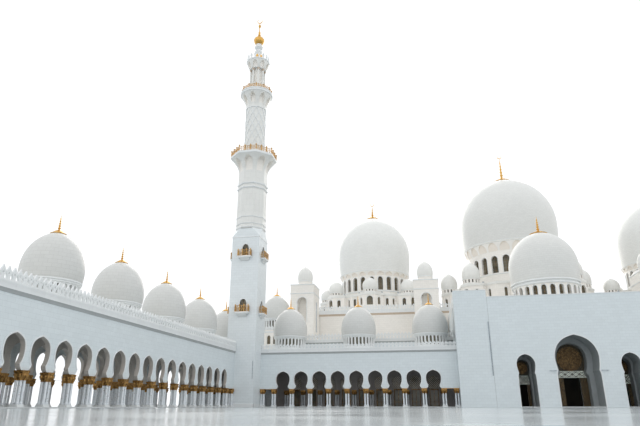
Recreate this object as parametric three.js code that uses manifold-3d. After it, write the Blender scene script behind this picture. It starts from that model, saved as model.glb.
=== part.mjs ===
// Domed mosque with courtyard arcades and two minarets, a scale model at 1:10.
// All sizes below are metres of the real building; one of those is UNIT millimetres of model.
// Frame: X to the right along the front, Y from the courtyard into the building, Z up,
// origin on the ground on the portal's axis, in the front plane of the front arcades.

import * as THREE from 'three';
import { mergeVertices } from 'three/addons/utils/BufferGeometryUtils.js';
import Module from 'manifold-3d';

const UNIT = 100;
const GAP = 0.003;
const SEAT = 0.15;

// Arcades
const BAY = 4.27;
const ARCADE_DEPTH = 12.8;
const WALL = 1.0;
const ARCH_WALL = 0.6;
const CAPITAL_TOP = 3.95;
const CAPITAL_FOOT = 3.4;
const CORNICE_FOOT = 11.9;
const CORNICE_TOP = 12.85;
const PARAPET_TOP = 13.8;
const CORNICE_OUT = 0.3;
const PARAPET_THICK = 0.4;
const ROOF_FOOT = 12.2;
const DOME_PITCH = 4 * BAY;
const DOME_LINE = 6.4;
const DOME_WELL = 3.4;
const FRONT_ROW = 0.3;
const BACK_ROW = 12.3;
const POST_HALF = 0.42;
const ARCH = [[1.67, CAPITAL_TOP], [1.16, 4.6], [1.6, 5.9], [1.36, 7.0], [0.72, 7.55], [0, 7.8]];
const PIER_HALF = 0.52;
const PIER_ARCH = [[BAY / 2 - PIER_HALF, SEAT + GAP], [BAY / 2 - PIER_HALF, 6.15], [0, 7.75]];
const DOORWAY = [[1.1, SEAT + GAP], [1.1, 4.2], [1.45, 5.6], [0, 7.1]];

// Front arcades
const FRONT_CENTRE = 46.485;
const FRONT_HALF = 22.482;
const FRONT_ARCHES = 9;

// Left side arcade: its inner face looks to the courtyard
const SIDE_FACE = -73.8;
const SIDE_START = -79.4;
const SIDE_FIRST_ARCH = -75.06;
const SIDE_ARCHES = 16;
const OUTER_ARCHES = 20;
const SIDE_MIDDLE = 6.4;
const SIDE_DOME_LINE = 6.8;
const SIDE_DOMES = [6.07, -11.0, -28.08, -45.16, -62.24];

// Minarets: half widths and heights of the stages
const MINARET_X = 72.4;
const MINARET_Y = -1.45;
const MINARET_HALF = 3.43;
const MINARET_WALL = 1.0;
const SQUARE_TOP = 39.7;
const BALCONY_FLOORS = [20.6, 34.1];
const BALCONY_HALF = 1.65;
const BALCONY_OUT = 1.0;
const BALCONY_RAIL = 0.12;
const EIGHT_SIDED = [
  [5.3, SQUARE_TOP + GAP], [3.7, 41.9], [3.7, 52.6], [3.95, 53.4], [3.75, 54.2], [3.75, 57.4],
  [6.2, 61.8], [6.2, 63.5], [2.4, 63.5], [2.4, SQUARE_TOP + GAP], [5.3, SQUARE_TOP + GAP],
];
const GALLERY_RAIL = [[5.95, 63.3], [6.1, 63.3], [6.1, 65.0], [5.95, 65.0], [5.95, 63.3]];
const ROUND_SHAFT = [
  [2.7, 63.4], [2.7, 77.6], [3.0, 78.9], [4.35, 81.0], [4.0, 81.5], [3.95, 84.0],
  [1.6, 84.0], [1.6, 63.4], [2.7, 63.4],
];
const LANTERN = [
  [0, 83.9], [2.2, 83.9], [2.2, 84.6], [1.5, 84.6], [1.5, 88.8], [2.2, 88.8], [2.4, 90.4],
  [3.05, 91.6], [3.05, 93.3], [2.5, 94.5], [0.85, 94.5], [0.85, 95.9], [1.05, 97.0], [0.8, 98.5], [0, 98.5],
];
const LANTERN_COLUMN = { r: 0.26, ring: 1.9, middle: 86.7, height: 4.6 };
const GOLD_TOP = [
  [0, 98.5 + GAP], [0.8, 98.5 + GAP], [1.35, 99.4], [1.1, 100.3], [0.35, 100.9], [0.32, 102.3],
  [0.13, 103.0], [0.37, 104.6], [0.1, 105.0], [0.1, 105.75], [0, 105.75],
];
const TOP_CRESCENT = { z: 106.35, r: 0.8, thick: 0.2 };

// Portal: a deep front wall, a narrower inner order of arches and the wall with the doors behind it
const PORTAL_HALF = 24.0;
const PORTAL_FRONT = -3.2;
const PORTAL_DEEP = 5.0;
const PORTAL_DOORS = 4.0;
const DOOR_WALL = 0.8;
const PIER_INNER = 16.9;
const PIER_TOP = 24.65;
const PORTAL_TOP = 23.1;
const PORTAL_ROOF = 22.6;
const ROOF_SLAB = 0.8;
const SIDE_PORTAL = 10.2;
const MAIN_ARCH = [
  [4.2, 0], [4.2, 6.6], [3.95, 7.2], [4.2, 8.6], [4.3, 9.7], [4.0, 11.3], [3.0, 12.9], [1.6, 14.0], [0, 14.46],
];
const SMALL_ARCH = [
  [1.78, 0], [1.78, 6.3], [1.58, 6.8], [1.85, 8.1], [1.7, 9.3], [1.0, 10.2], [0, 10.6],
];
const MAIN_INNER_ARCH = [
  [3.1, SEAT + GAP], [3.1, 5.9], [2.62, 7.15], [3.02, 9.0], [3.02, 10.2], [2.1, 12.35], [0, 13.15],
];
const SMALL_INNER_ARCH = [
  [1.42, SEAT + GAP], [1.42, 5.2], [1.2, 6.55], [1.42, 8.0], [1.1, 9.3], [0, 9.85],
];
const MAIN_DOOR = { half: 1.72, top: 6.05 };
const SIDE_DOOR = { half: 0.85, top: 4.75 };

// Prayer hall and the block in front of it
const HALL_HALF = 69.0;
const HALL_FRONT = 36.3;
const HALL_BACK = 95.7;
const HALL_WALL = 1.2;
const HALL_CORNICE = 26.6;
const HALL_TOP = 27.5;
const HALL_PARAPET = 28.3;
const HALL_DOOR = [[4, SEAT - 1], [4, 9], [3, 11.4], [0, 13]];
const BLOCK_ROOF = 16.2;
const BLOCK_SLAB = 0.6;
const BLOCK_PARAPET = 17.7;

// Domes: centre, radius and half height of the shell, then its drum with a ring of windows
const FOOT_SHARE = 0.955;
const ARCADE_DOME = { r: 4.15, rise: 5.4, mid: 17.8, foot: 16.2, cap: 0.6, tip: 26.1, drum: 3.9, thick: 0.5 };
const ENTRY = {
  x: 0, y: 17, r: 8.4, rise: 9.7, mid: 33.3, foot: 29.0, cap: 2.0,
  drum: 7.75, drumFoot: 22.6, sill: 25.3, head: 27.95, windowHalf: 0.66, windows: 24,
};
const MAIN = {
  x: 0, y: 65.5, r: 16.2, rise: 18.1, mid: 59.5, foot: 50.8, cap: 2.6,
  drum: 14.4, drumFoot: 36.6, sill: 40.9, head: 46.6, windowHalf: 1.15, windows: 24,
};
const WING = {
  x: 47.6, y: 66, r: 12.8, rise: 14.8, mid: 51.5, foot: 44.0, cap: 2.0,
  drum: 11.5, drumFoot: 35.0, sill: 37.3, head: 41.9, windowHalf: 0.92, windows: 24,
};

// Eight-sided podiums: a bay with slanted cheeks on each side carries one small dome
const PODIUM_WALL = 0.8;
const MAIN_PODIUM = {
  half: 20.3, top: 36.6, bayFront: 1.9, bayBack: 4.5, reach: 24.4,
  ring: 21.7, ringR: 2.7, ringTop: 42.3, arch: 1.2, side: 5.7, sill: 31.2, head: 35.0,
};
const WING_PODIUM = {
  half: 15.7, top: 35.0, bayFront: 1.6, bayBack: 4.2, reach: 19.4,
  ring: 17.0, ringR: 2.4, ringTop: 39.5, arch: 1.0, side: 5.3, sill: 30.9, head: 34.0,
};
const SIDE_WINDOW_HALF = 0.5;

// Turrets and flank blocks
const TURRETS = [65.45, 29.75];
const TURRET_HALF = 3.45;
const TURRET_FRONT = 27.2;
const TURRET_TOP = 34.2;
const TURRET_WALL = 0.6;
const TURRET_ARCH = [[1.4, 23.1], [1.4, 27.6], [1.4, 28.9], [0.9, 29.9], [0, 30.2]];
const TURRET_DOME = { r: 2.15, top: 40.5 };
const FLANK_X = 73.503;
const FLANK_Y = 29.0;
const FLANK_HALF = 4.5;
const FLANK_WALL = 0.8;
const FLANK_ROOF = 20.75;

const MARBLE = { color: '#e4e8ea', roughness: 0.45, metalness: 0 };
const WARM_MARBLE = { color: '#e6dfd2', roughness: 0.5, metalness: 0 };
const DOME_SHELL = { color: '#e9ebe9', roughness: 0.4, metalness: 0 };
const GOLD = { color: '#c9953a', roughness: 0.3, metalness: 0.9 };
const DARK_MARBLE = { color: '#a9a8a4', roughness: 0.5, metalness: 0 };

const wasm = await Module();
wasm.setup();

const model = new THREE.Group();

// Geometry helpers: everything below works in metres and is scaled when a mesh is made

function trianglesOf(merged) {
  const position = merged.getAttribute('position');
  const kept = [];
  const index = merged.index.array;
  let volume = 0;
  const a = new THREE.Vector3();
  const b = new THREE.Vector3();
  const c = new THREE.Vector3();
  for (let i = 0; i < index.length; i += 3) {
    const [p, q, r] = [index[i], index[i + 1], index[i + 2]];
    if (p === q || q === r || p === r) continue;
    a.fromBufferAttribute(position, p);
    b.fromBufferAttribute(position, q);
    c.fromBufferAttribute(position, r);
    volume += a.dot(b.cross(c));
    kept.push(p, q, r);
  }
  return volume < 0 ? kept.reverse() : kept;
}

function toSolid(geometry) {
  const bare = geometry.index ? geometry.toNonIndexed() : geometry.clone();
  bare.deleteAttribute('normal');
  bare.deleteAttribute('uv');
  const merged = mergeVertices(bare, 1e-5);
  const vertProperties = new Float32Array(merged.getAttribute('position').array);
  const triVerts = new Uint32Array(trianglesOf(merged));
  return new wasm.Manifold(new wasm.Mesh({ numProp: 3, vertProperties, triVerts }));
}

function toGeometry(solid) {
  const mesh = solid.getMesh();
  const geometry = new THREE.BufferGeometry();
  geometry.setAttribute('position', new THREE.BufferAttribute(new Float32Array(mesh.vertProperties), 3));
  geometry.setIndex(new THREE.BufferAttribute(new Uint32Array(mesh.triVerts), 1));
  geometry.scale(UNIT, UNIT, UNIT);
  geometry.computeVertexNormals();
  return geometry;
}

function add(name, solid, look, parent = model) {
  const material = new THREE.MeshStandardMaterial({ ...look, flatShading: true });
  const mesh = new THREE.Mesh(toGeometry(solid), material);
  mesh.name = name;
  parent.add(mesh);
  return mesh;
}

function placed(x, y, turn = 0) {
  const group = new THREE.Group();
  group.position.set(x * UNIT, y * UNIT, 0);
  group.rotation.z = turn;
  model.add(group);
  return group;
}

function join(solids) {
  return solids.reduce((whole, next) => whole.add(next));
}

function cut(solid, tools) {
  return tools.reduce((whole, tool) => whole.subtract(tool), solid);
}

function box(x0, x1, y0, y1, z0, z1) {
  const geometry = new THREE.BoxGeometry(x1 - x0, y1 - y0, z1 - z0);
  geometry.translate((x0 + x1) / 2, (y0 + y1) / 2, (z0 + z1) / 2);
  return toSolid(geometry);
}

function tube(half, halfY, wall, z0, z1) {
  const outer = box(-half, half, -halfY, halfY, z0, z1);
  return outer.subtract(box(wall - half, half - wall, wall - halfY, halfY - wall, z0 - 1, z1 + 1));
}

function turned(profile, sides, turn = 0) {
  const points = profile.map(([r, z]) => new THREE.Vector2(r, z));
  const geometry = new THREE.LatheGeometry(points, sides);
  geometry.rotateX(Math.PI / 2);
  geometry.rotateZ(turn);
  return toSolid(geometry);
}

// Upright prism over a plan in the XY plane
function prism(plan, z0, z1) {
  const shape = new THREE.Shape(plan.map(([x, y]) => new THREE.Vector2(x, y)));
  const geometry = new THREE.ExtrudeGeometry(shape, { depth: z1 - z0, bevelEnabled: false });
  geometry.translate(0, 0, z0);
  return toSolid(geometry);
}

// Wall panel in the XZ plane, from y0 back to y1
function panel(outline, y0, y1) {
  const shape = new THREE.Shape(outline.map(([x, z]) => new THREE.Vector2(x, z)));
  const geometry = new THREE.ExtrudeGeometry(shape, { depth: y1 - y0, bevelEnabled: false });
  geometry.rotateX(Math.PI / 2);
  geometry.translate(0, y1, 0);
  return toSolid(geometry);
}

function archOutline(centre, halves) {
  const left = halves.map(([half, z]) => [centre - half, z]);
  const right = halves.slice(0, -1).reverse().map(([half, z]) => [centre + half, z]);
  return [...left, ...right];
}

// Wall outline whose foot is notched by arches, each with its centre and its half widths
function combOutline(x0, x1, foot, top, arches) {
  const notches = arches.flatMap(({ at, halves }) => archOutline(at, halves));
  return [[x0, foot], ...notches, [x1, foot], [x1, top], [x0, top]];
}

function windowCut(x, half, sill, head, y0, y1) {
  return panel(archOutline(x, [[half, sill], [half, head - half], [0, head]]), y0, y1);
}

function steps(first, pitch, count) {
  return Array.from({ length: count }, (_, i) => first + pitch * i);
}

function around(count, solids) {
  const turns = steps(0, 360 / count, count);
  return turns.flatMap((turn) => solids.map((solid) => solid.rotate([0, 0, turn])));
}

// Domes: the curve from the foot up to the flat under the finial, and the inner curve back down

function domeCurve({ rise, mid, foot }, radius, less, angles) {
  const under = (mid - foot) / Math.sqrt(1 - FOOT_SHARE ** 2);
  return angles.map((angle) => {
    const height = angle < 0 ? under : rise - less;
    return [radius * Math.cos(angle), mid + height * Math.sin(angle)];
  });
}

function shellProfile(spec, thick, bands) {
  const low = -Math.acos(FOOT_SHARE);
  const high = Math.acos(spec.cap / spec.r);
  const innerBands = 4;
  const outer = domeCurve(spec, spec.r, 0, steps(low, (high - low) / bands, bands + 1));
  const innerAngles = steps(low, (Math.PI / 2 - low) / innerBands, innerBands + 1);
  const inner = domeCurve(spec, spec.r - thick, thick, innerAngles).reverse();
  inner[0][0] = 0;
  const flat = [0, outer[bands][1]];
  return [...outer, flat, ...inner, outer[0]];
}

function domeTop({ r, rise, mid, cap }) {
  return mid + rise * Math.sin(Math.acos(cap / r));
}

// Small dome on a low drum, solid, for podium bays and turrets
function smallDome(x, y, r, foot, top, sides = 8) {
  const at = (part) => foot + (top - foot) * part;
  const profile = [[0, foot - 0.4], [r * 0.92, foot - 0.4], [r, at(0.5)], [r * 0.66, at(0.84)], [0, top]];
  return turned(profile, sides).translate([x, y, 0]);
}

// Dome of the arcades, a shell open below, standing on the roof at the given height
function arcadeDome(x, y, roofTop = CORNICE_TOP) {
  const { r, drum, thick, tip, cap } = ARCADE_DOME;
  const foot = ROOF_FOOT + 0.2;
  const bands = 4;
  const low = -Math.acos(FOOT_SHARE);
  const high = Math.acos(cap / r);
  const outer = domeCurve(ARCADE_DOME, r, 0, steps(low, (high - low) / bands, bands + 1));
  const inner = domeCurve(ARCADE_DOME, drum - thick, thick, [Math.PI / 2, 0.8]);
  inner[0][0] = 0;
  const profile = [[drum, foot], [drum, ARCADE_DOME.foot - 0.2], ...outer, [0, tip], ...inner,
    [drum - thick, ARCADE_DOME.mid], [drum - thick, foot], [drum, foot]];
  const lift = roofTop - CORNICE_TOP;
  return turned(profile.map(([radius, z]) => [radius, z + lift]), 12).translate([x, y, 0]);
}

function roundHole(x, y, r, z0, z1, sides) {
  return turned([[0, z0], [r, z0], [r, z1], [0, z1]], sides).translate([x, y, 0]);
}

// Columns: a cluster of four shafts under one capital block
function cluster(x, y) {
  const spread = 0.3;
  const shaft = 0.15;
  const shafts = [[-1, -1], [1, -1], [-1, 1], [1, 1]].map(([i, j]) => {
    const middleX = x + i * spread;
    const middleY = y + j * spread;
    return box(middleX - shaft, middleX + shaft, middleY - shaft, middleY + shaft,
      SEAT - 0.05, CAPITAL_FOOT + 0.05);
  });
  const capital = box(x - 0.5, x + 0.5, y - 0.5, y + 0.5, CAPITAL_FOOT, CAPITAL_TOP - GAP);
  return join([capital, ...shafts]);
}

function post(x, y) {
  return box(x - POST_HALF, x + POST_HALF, y - POST_HALF, y + POST_HALF, SEAT - 0.05, CAPITAL_TOP - GAP);
}

// Outline of a wall on piers: arches down to the floor, and a beam beyond the first and last pier
function pierOutline(x0, x1, top, centres) {
  const foot = SEAT + GAP;
  const notches = centres.flatMap((at) => archOutline(at, PIER_ARCH));
  const left = centres[0] - BAY / 2 - PIER_HALF;
  const right = centres[centres.length - 1] + BAY / 2 + PIER_HALF;
  return [[x0, CAPITAL_TOP], [left, CAPITAL_TOP], [left, foot], ...notches, [right, foot],
    [right, CAPITAL_TOP], [x1, CAPITAL_TOP], [x1, top], [x0, top]];
}

// Arched wall of an arcade with its cornice and parapet; out is -1 when the cornice looks to -Y
function arcadeWall(x0, x1, outline, face, out) {
  const back = face - out * ARCH_WALL;
  const [y0, y1] = [Math.min(face, back), Math.max(face, back)];
  const wall = panel(outline, y0, y1);
  const lip = face + out * CORNICE_OUT;
  const cornice = box(x0, x1, Math.min(face, lip), Math.max(face, lip), CORNICE_FOOT, CORNICE_TOP);
  const rear = face - out * PARAPET_THICK;
  const parapet = box(x0, x1, Math.min(face, rear), Math.max(face, rear), CORNICE_TOP, PARAPET_TOP);
  return join([wall, cornice, parapet]);
}

// Roof slab of an arcade with a well under each dome, and the domes on it
function domedRoof(slabs, cuts, spots) {
  const wells = spots.map(([x, y]) => roundHole(x, y, DOME_WELL, ROOF_FOOT - 1, CORNICE_TOP + 1, 12));
  const domes = spots.map(([x, y]) => arcadeDome(x, y));
  return join([cut(join(slabs), [...cuts, ...wells]), ...domes]);
}

function buildFrontArcade(side, label) {
  const group = placed(side * FRONT_CENTRE, 0);
  const last = BAY * (FRONT_ARCHES - 1) / 2;
  const centres = steps(-last, BAY, FRONT_ARCHES);
  const row = steps(-last - BAY / 2, BAY, FRONT_ARCHES + 1);
  const arches = centres.map((at) => ({ at, halves: ARCH }));
  const outline = combOutline(-FRONT_HALF, FRONT_HALF, CAPITAL_TOP, CORNICE_TOP, arches);
  const wall = arcadeWall(-FRONT_HALF, FRONT_HALF, outline, 0, -1);
  add(`${label}_front_arcade_wall`, wall, MARBLE, group);

  const clusters = row.map((x) => cluster(x, FRONT_ROW));
  const ends = [POST_HALF - FRONT_HALF, FRONT_HALF - POST_HALF].map((x) => post(x, FRONT_ROW));
  const rear = row.map((x) => post(x, BACK_ROW));
  const floor = box(-FRONT_HALF, FRONT_HALF, -CORNICE_OUT, HALL_FRONT - GAP, 0, SEAT);
  add(`${label}_front_arcade_columns`, join([floor, ...clusters, ...ends, ...rear]), MARBLE, group);

  const doors = centres.map((at) => ({ at, halves: DOORWAY }));
  const back = panel(combOutline(-FRONT_HALF, FRONT_HALF, SEAT + GAP, BLOCK_PARAPET, doors),
    ARCADE_DEPTH, ARCADE_DEPTH + WALL);
  const band = box(-FRONT_HALF, FRONT_HALF, ARCADE_DEPTH - 0.25, ARCADE_DEPTH, BLOCK_ROOF - 0.3, BLOCK_ROOF);
  add(`${label}_arcade_back_wall`, join([back, band]), MARBLE, group);

  const slab = box(-FRONT_HALF, FRONT_HALF, ARCH_WALL + GAP, ARCADE_DEPTH - GAP, ROOF_FOOT, CORNICE_TOP);
  const spots = [-DOME_PITCH, 0, DOME_PITCH].map((x) => [x, DOME_LINE]);
  add(`${label}_front_arcade_roof`, domedRoof([slab], [], spots), DOME_SHELL, group);

  const blockFront = ARCADE_DEPTH + WALL + GAP;
  const blockBack = HALL_FRONT - GAP;
  const roof = box(-FRONT_HALF, FRONT_HALF, blockFront, blockBack, BLOCK_ROOF - BLOCK_SLAB, BLOCK_ROOF);
  const outer = side * (HALL_HALF - FRONT_CENTRE);
  const inner = outer - side * WALL;
  const sideWall = box(Math.min(outer, inner), Math.max(outer, inner), blockFront, blockBack,
    SEAT + GAP, BLOCK_ROOF);
  add(`${label}_block_roof_and_side`, roof.add(sideWall), WARM_MARBLE, group);
}

// The side arcade is drawn along local X and turned a quarter, so its depth runs to -X
function buildSideArcade() {
  const group = placed(SIDE_FACE, 0, Math.PI / 2);
  const end = ARCADE_DEPTH - GAP;
  const minaretStart = MINARET_Y - MINARET_HALF - GAP;
  const minaretEnd = MINARET_Y + MINARET_HALF + GAP;
  const minaretBack = SIDE_FACE + MINARET_X + MINARET_HALF + GAP;
  const frontArcadeEnd = SIDE_FACE + FRONT_CENTRE + FRONT_HALF + GAP;
  const minaret = box(minaretStart, minaretEnd, -10, minaretBack, -1, 40);
  const inner = steps(SIDE_FIRST_ARCH, BAY, SIDE_ARCHES);
  const outer = steps(SIDE_FIRST_ARCH, BAY, OUTER_ARCHES);
  const innerRow = steps(SIDE_FIRST_ARCH - BAY / 2, BAY, SIDE_ARCHES + 1);

  const arches = inner.map((at) => ({ at, halves: ARCH }));
  const innerOutline = combOutline(SIDE_START, minaretStart, CAPITAL_TOP, CORNICE_TOP, arches);
  const innerWall = arcadeWall(SIDE_START, minaretStart, innerOutline, 0, -1);
  add('side_arcade_inner_wall', innerWall, MARBLE, group);
  const middleWall = panel(pierOutline(SIDE_START, end, ROOF_FOOT - GAP, outer),
    SIDE_MIDDLE - ARCH_WALL / 2, SIDE_MIDDLE + ARCH_WALL / 2);
  add('side_arcade_middle_wall', middleWall, MARBLE, group);
  const outerEnd = ARCADE_DEPTH + WALL;
  const outerOutline = pierOutline(SIDE_START, outerEnd, CORNICE_TOP, outer);
  const outerWall = arcadeWall(SIDE_START, outerEnd, outerOutline, ARCADE_DEPTH, 1);
  add('side_arcade_outer_wall', outerWall, MARBLE, group);
  const endWall = box(SIDE_START - WALL, SIDE_START - GAP, 0, ARCADE_DEPTH + CORNICE_OUT, 0, PARAPET_TOP);
  add('side_arcade_end_wall', endWall, MARBLE, group);
  const cornerWall = box(ARCADE_DEPTH, ARCADE_DEPTH + WALL, SIDE_FACE + HALL_HALF + 0.1,
    ARCADE_DEPTH - ARCH_WALL - GAP, 0, PARAPET_TOP);
  add('side_arcade_corner_wall', cornerWall, MARBLE, group);

  const corner = box(minaretEnd, end, frontArcadeEnd, 1, 0, SEAT);
  const strip = box(SIDE_START, end, -CORNICE_OUT, ARCADE_DEPTH, 0, SEAT);
  const floor = cut(join([strip, corner]), [minaret]);
  const front = [...innerRow.map((x) => cluster(x, FRONT_ROW)), post(minaretStart - POST_HALF, FRONT_ROW)];
  add('side_arcade_columns', join([floor, ...front]), MARBLE, group);

  const roofStrip = box(SIDE_START, end, ARCH_WALL + GAP, ARCADE_DEPTH - ARCH_WALL - GAP,
    ROOF_FOOT, CORNICE_TOP);
  const roofCorner = box(minaretEnd, end, frontArcadeEnd, WALL + 1, ROOF_FOOT, CORNICE_TOP);
  const spots = SIDE_DOMES.map((x) => [x, SIDE_DOME_LINE]);
  add('side_arcade_roof', domedRoof([roofStrip, roofCorner], [minaret], spots), DOME_SHELL, group);
}

// Minaret stages

function balcony(floor) {
  const front = -MINARET_HALF;
  const out = front - BALCONY_OUT;
  const inner = BALCONY_HALF - BALCONY_RAIL;
  const outside = box(-BALCONY_HALF, BALCONY_HALF, out, front, floor, floor + 2.1);
  const space = box(-inner, inner, out + BALCONY_RAIL, front + 1, floor + 0.5, floor + 3);
  const corbel = box(-1.1, 1.1, front - 0.55, front, floor - 0.9, floor);
  return outside.subtract(space).add(corbel);
}

function balconyDoor(floor) {
  const sill = floor + 0.5;
  const halves = [[0.85, sill], [0.85, sill + 2.2], [0, sill + 3.1]];
  return panel(archOutline(0, halves), -MINARET_HALF - 0.5, -MINARET_HALF + 1.5);
}

function squareShaft() {
  const shaft = tube(MINARET_HALF, MINARET_HALF, MINARET_WALL, 0, SQUARE_TOP);
  const doors = around(4, BALCONY_FLOORS.map(balconyDoor));
  return join([cut(shaft, doors), ...around(4, BALCONY_FLOORS.map(balcony))]);
}

// Eight-sided stage, cut to the square below where its corners slant in
function eightSidedStage() {
  const stage = turned(EIGHT_SIDED, 8, Math.PI / 8);
  const rail = turned(GALLERY_RAIL, 8, Math.PI / 8);
  const square = box(-MINARET_HALF, MINARET_HALF, -MINARET_HALF, MINARET_HALF, SQUARE_TOP, 45);
  const upper = box(-9, 9, -9, 9, 45, 70);
  return join([stage.intersect(join([square, upper])), rail]);
}

function lantern() {
  const { r, ring, middle, height } = LANTERN_COLUMN;
  const columns = steps(0, Math.PI / 4, 8).map((angle) => {
    const geometry = new THREE.CylinderGeometry(r, r, height, 3);
    geometry.rotateX(Math.PI / 2);
    geometry.translate(ring * Math.cos(angle), ring * Math.sin(angle), middle);
    return toSolid(geometry);
  });
  return join([turned(LANTERN, 8), ...columns]);
}

function crescent(z, radius, thick) {
  const arc = (r, lift, from, to, count) => steps(from, (to - from) / count, count + 1)
    .map(THREE.MathUtils.degToRad)
    .map((angle) => [r * Math.cos(angle), z + lift + r * Math.sin(angle)]);
  const outside = arc(radius, 0, -242, 62, 7);
  const inside = arc(radius * 0.72, radius * 0.2, 55, -235, 6);
  return panel([...outside, ...inside], -thick / 2, thick / 2);
}

// Saucer on the crown of a dome with a tapering rod on it
function spire(foot, skirt, height, sides = 6) {
  const at = (part) => foot + height * part;
  const waist = skirt * 0.26;
  return turned([[0, foot], [skirt, foot], [skirt * 0.8, foot + 0.18], [waist * 0.7, at(0.1)],
    [waist, at(0.2)], [waist * 0.4, at(0.5)], [waist * 0.16, at(1)], [0, at(1)]], sides);
}

function buildMinaret(side, label) {
  const group = placed(side * MINARET_X, MINARET_Y);
  add(`${label}_minaret_square_shaft`, squareShaft(), MARBLE, group);
  const upper = join([eightSidedStage(), turned(ROUND_SHAFT, 12), lantern()]);
  add(`${label}_minaret_upper_shaft`, upper, MARBLE, group);
  const moon = crescent(TOP_CRESCENT.z, TOP_CRESCENT.r, TOP_CRESCENT.thick);
  add(`${label}_minaret_finial`, join([turned(GOLD_TOP, 8), moon]), GOLD, group);
}

// Portal block

function threeArches(small, main) {
  return [{ at: -SIDE_PORTAL, halves: small }, { at: 0, halves: main }, { at: SIDE_PORTAL, halves: small }];
}

function buildPortal() {
  const wallBack = PORTAL_FRONT + PORTAL_DEEP;
  const wall = panel(combOutline(-PIER_INNER, PIER_INNER, 0, PORTAL_TOP, threeArches(SMALL_ARCH, MAIN_ARCH)),
    PORTAL_FRONT, wallBack);
  const leftPier = box(-PORTAL_HALF, -PIER_INNER, PORTAL_FRONT, wallBack, 0, PIER_TOP);
  const rightPier = box(PIER_INNER, PORTAL_HALF, PORTAL_FRONT, wallBack, 0, PIER_TOP);
  add('portal_front_wall', join([wall, leftPier, rightPier]), MARBLE);

  const roofFoot = PORTAL_ROOF - ROOF_SLAB;
  const foot = SEAT + GAP;
  const orderFront = wallBack + GAP;
  const order = panel(combOutline(-PORTAL_HALF, PORTAL_HALF, foot, roofFoot - GAP,
    threeArches(SMALL_INNER_ARCH, MAIN_INNER_ARCH)), orderFront, PORTAL_DOORS + 0.01);
  const doorsBack = PORTAL_DOORS + DOOR_WALL;
  const doorWall = box(-PORTAL_HALF, PORTAL_HALF, PORTAL_DOORS, doorsBack, foot, roofFoot - GAP);
  const doors = [[-SIDE_PORTAL, SIDE_DOOR], [0, MAIN_DOOR], [SIDE_PORTAL, SIDE_DOOR]]
    .map(([x, { half, top }]) => box(x - half, x + half, PORTAL_DOORS - 1, doorsBack + 1, 0, top));
  add('portal_inner_wall', join([cut(doorWall, doors), order]), DARK_MARBLE);

  const sideFront = doorsBack + GAP;
  const back = HALL_FRONT - GAP;
  const leftWall = box(-PORTAL_HALF, WALL - PORTAL_HALF, sideFront, back, foot, PORTAL_ROOF);
  const rightWall = box(PORTAL_HALF - WALL, PORTAL_HALF, sideFront, back, foot, PORTAL_ROOF);
  const well = roundHole(0, ENTRY.y, ENTRY.drum - 0.9, 0, 40, 20);
  const roof = box(-PORTAL_HALF, PORTAL_HALF, orderFront, back, roofFoot, PORTAL_ROOF);
  add('portal_roof_and_sides', join([cut(roof, [well]), leftWall, rightWall]), MARBLE);
  buildDome('entry', ENTRY, { drumThick: 0.9, thick: 0.6, sides: 16, spireHeight: 4.8, moon: 0 });
}

// Drum with a ring of tall windows, dome shell and finial

function drumSolid(spec, thick) {
  const foot = spec.drumFoot + GAP;
  const top = spec.foot - GAP;
  const r = spec.drum;
  const profile = [[r, foot], [r, top], [r - thick, top], [r - thick, foot], [r, foot]];
  const wall = turned(profile, spec.windows, Math.PI / spec.windows);
  const hole = windowCut(0, spec.windowHalf, spec.sill, spec.head, -r - 1, -r + thick + 1);
  return cut(wall, around(spec.windows, [hole]));
}

function buildDome(label, spec, { drumThick, thick, sides, spireHeight, moon }) {
  const group = placed(spec.x, spec.y);
  add(`${label}_drum`, drumSolid(spec, drumThick), WARM_MARBLE, group);
  add(`${label}_dome`, turned(shellProfile(spec, thick, 7), sides), DOME_SHELL, group);
  const top = domeTop(spec) + GAP;
  const rod = spire(top, spec.cap, spireHeight);
  const finial = moon ? rod.add(crescent(top + spireHeight + moon * 0.85, moon, 0.3)) : rod;
  add(`${label}_finial`, finial, GOLD, group);
}

// Plan out of the outline of one side that faces -Y, repeated round the eight sides
function eightTimes(side) {
  return steps(0, Math.PI / 4, 8).flatMap((turn) => side.map(([x, y]) => [
    x * Math.cos(turn) - y * Math.sin(turn), x * Math.sin(turn) + y * Math.cos(turn)]));
}

function podiumPlan({ half, bayFront, bayBack, reach }) {
  const cheek = reach - (bayBack - bayFront);
  return eightTimes([[-half * Math.tan(Math.PI / 8), -half], [-bayBack, -half], [-bayBack, -cheek],
    [-bayFront, -reach], [bayFront, -reach], [bayBack, -cheek], [bayBack, -half]]);
}

function podiumRoom({ half, bayFront, bayBack, reach }) {
  const near = half - PODIUM_WALL;
  const far = reach - PODIUM_WALL;
  const front = bayFront - 0.3;
  const back = bayBack - PODIUM_WALL;
  return eightTimes([[-near * Math.tan(Math.PI / 8), -near], [-back, -near], [-front, -far],
    [front, -far], [back, -near]]);
}

function octagonPlan(half) {
  const reach = half / Math.cos(Math.PI / 8);
  return steps(Math.PI / 8, Math.PI / 4, 8).map((turn) => [reach * Math.cos(turn), reach * Math.sin(turn)]);
}

function podiumWalls(podium, foot) {
  const { half, top, reach, arch, side, sill, head } = podium;
  const outside = prism(podiumPlan(podium), foot, top);
  const inside = prism(podiumRoom(podium), foot - 1, top - PODIUM_WALL);
  const bayWindow = windowCut(0, arch, sill, head, -reach - 1, 1.5 - reach);
  const sideWindows = [-side, side]
    .map((x) => windowCut(x, SIDE_WINDOW_HALF, sill, head, -half - 1, 1.5 - half));
  return cut(outside, [inside, ...around(8, [bayWindow, ...sideWindows])]);
}

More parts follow.
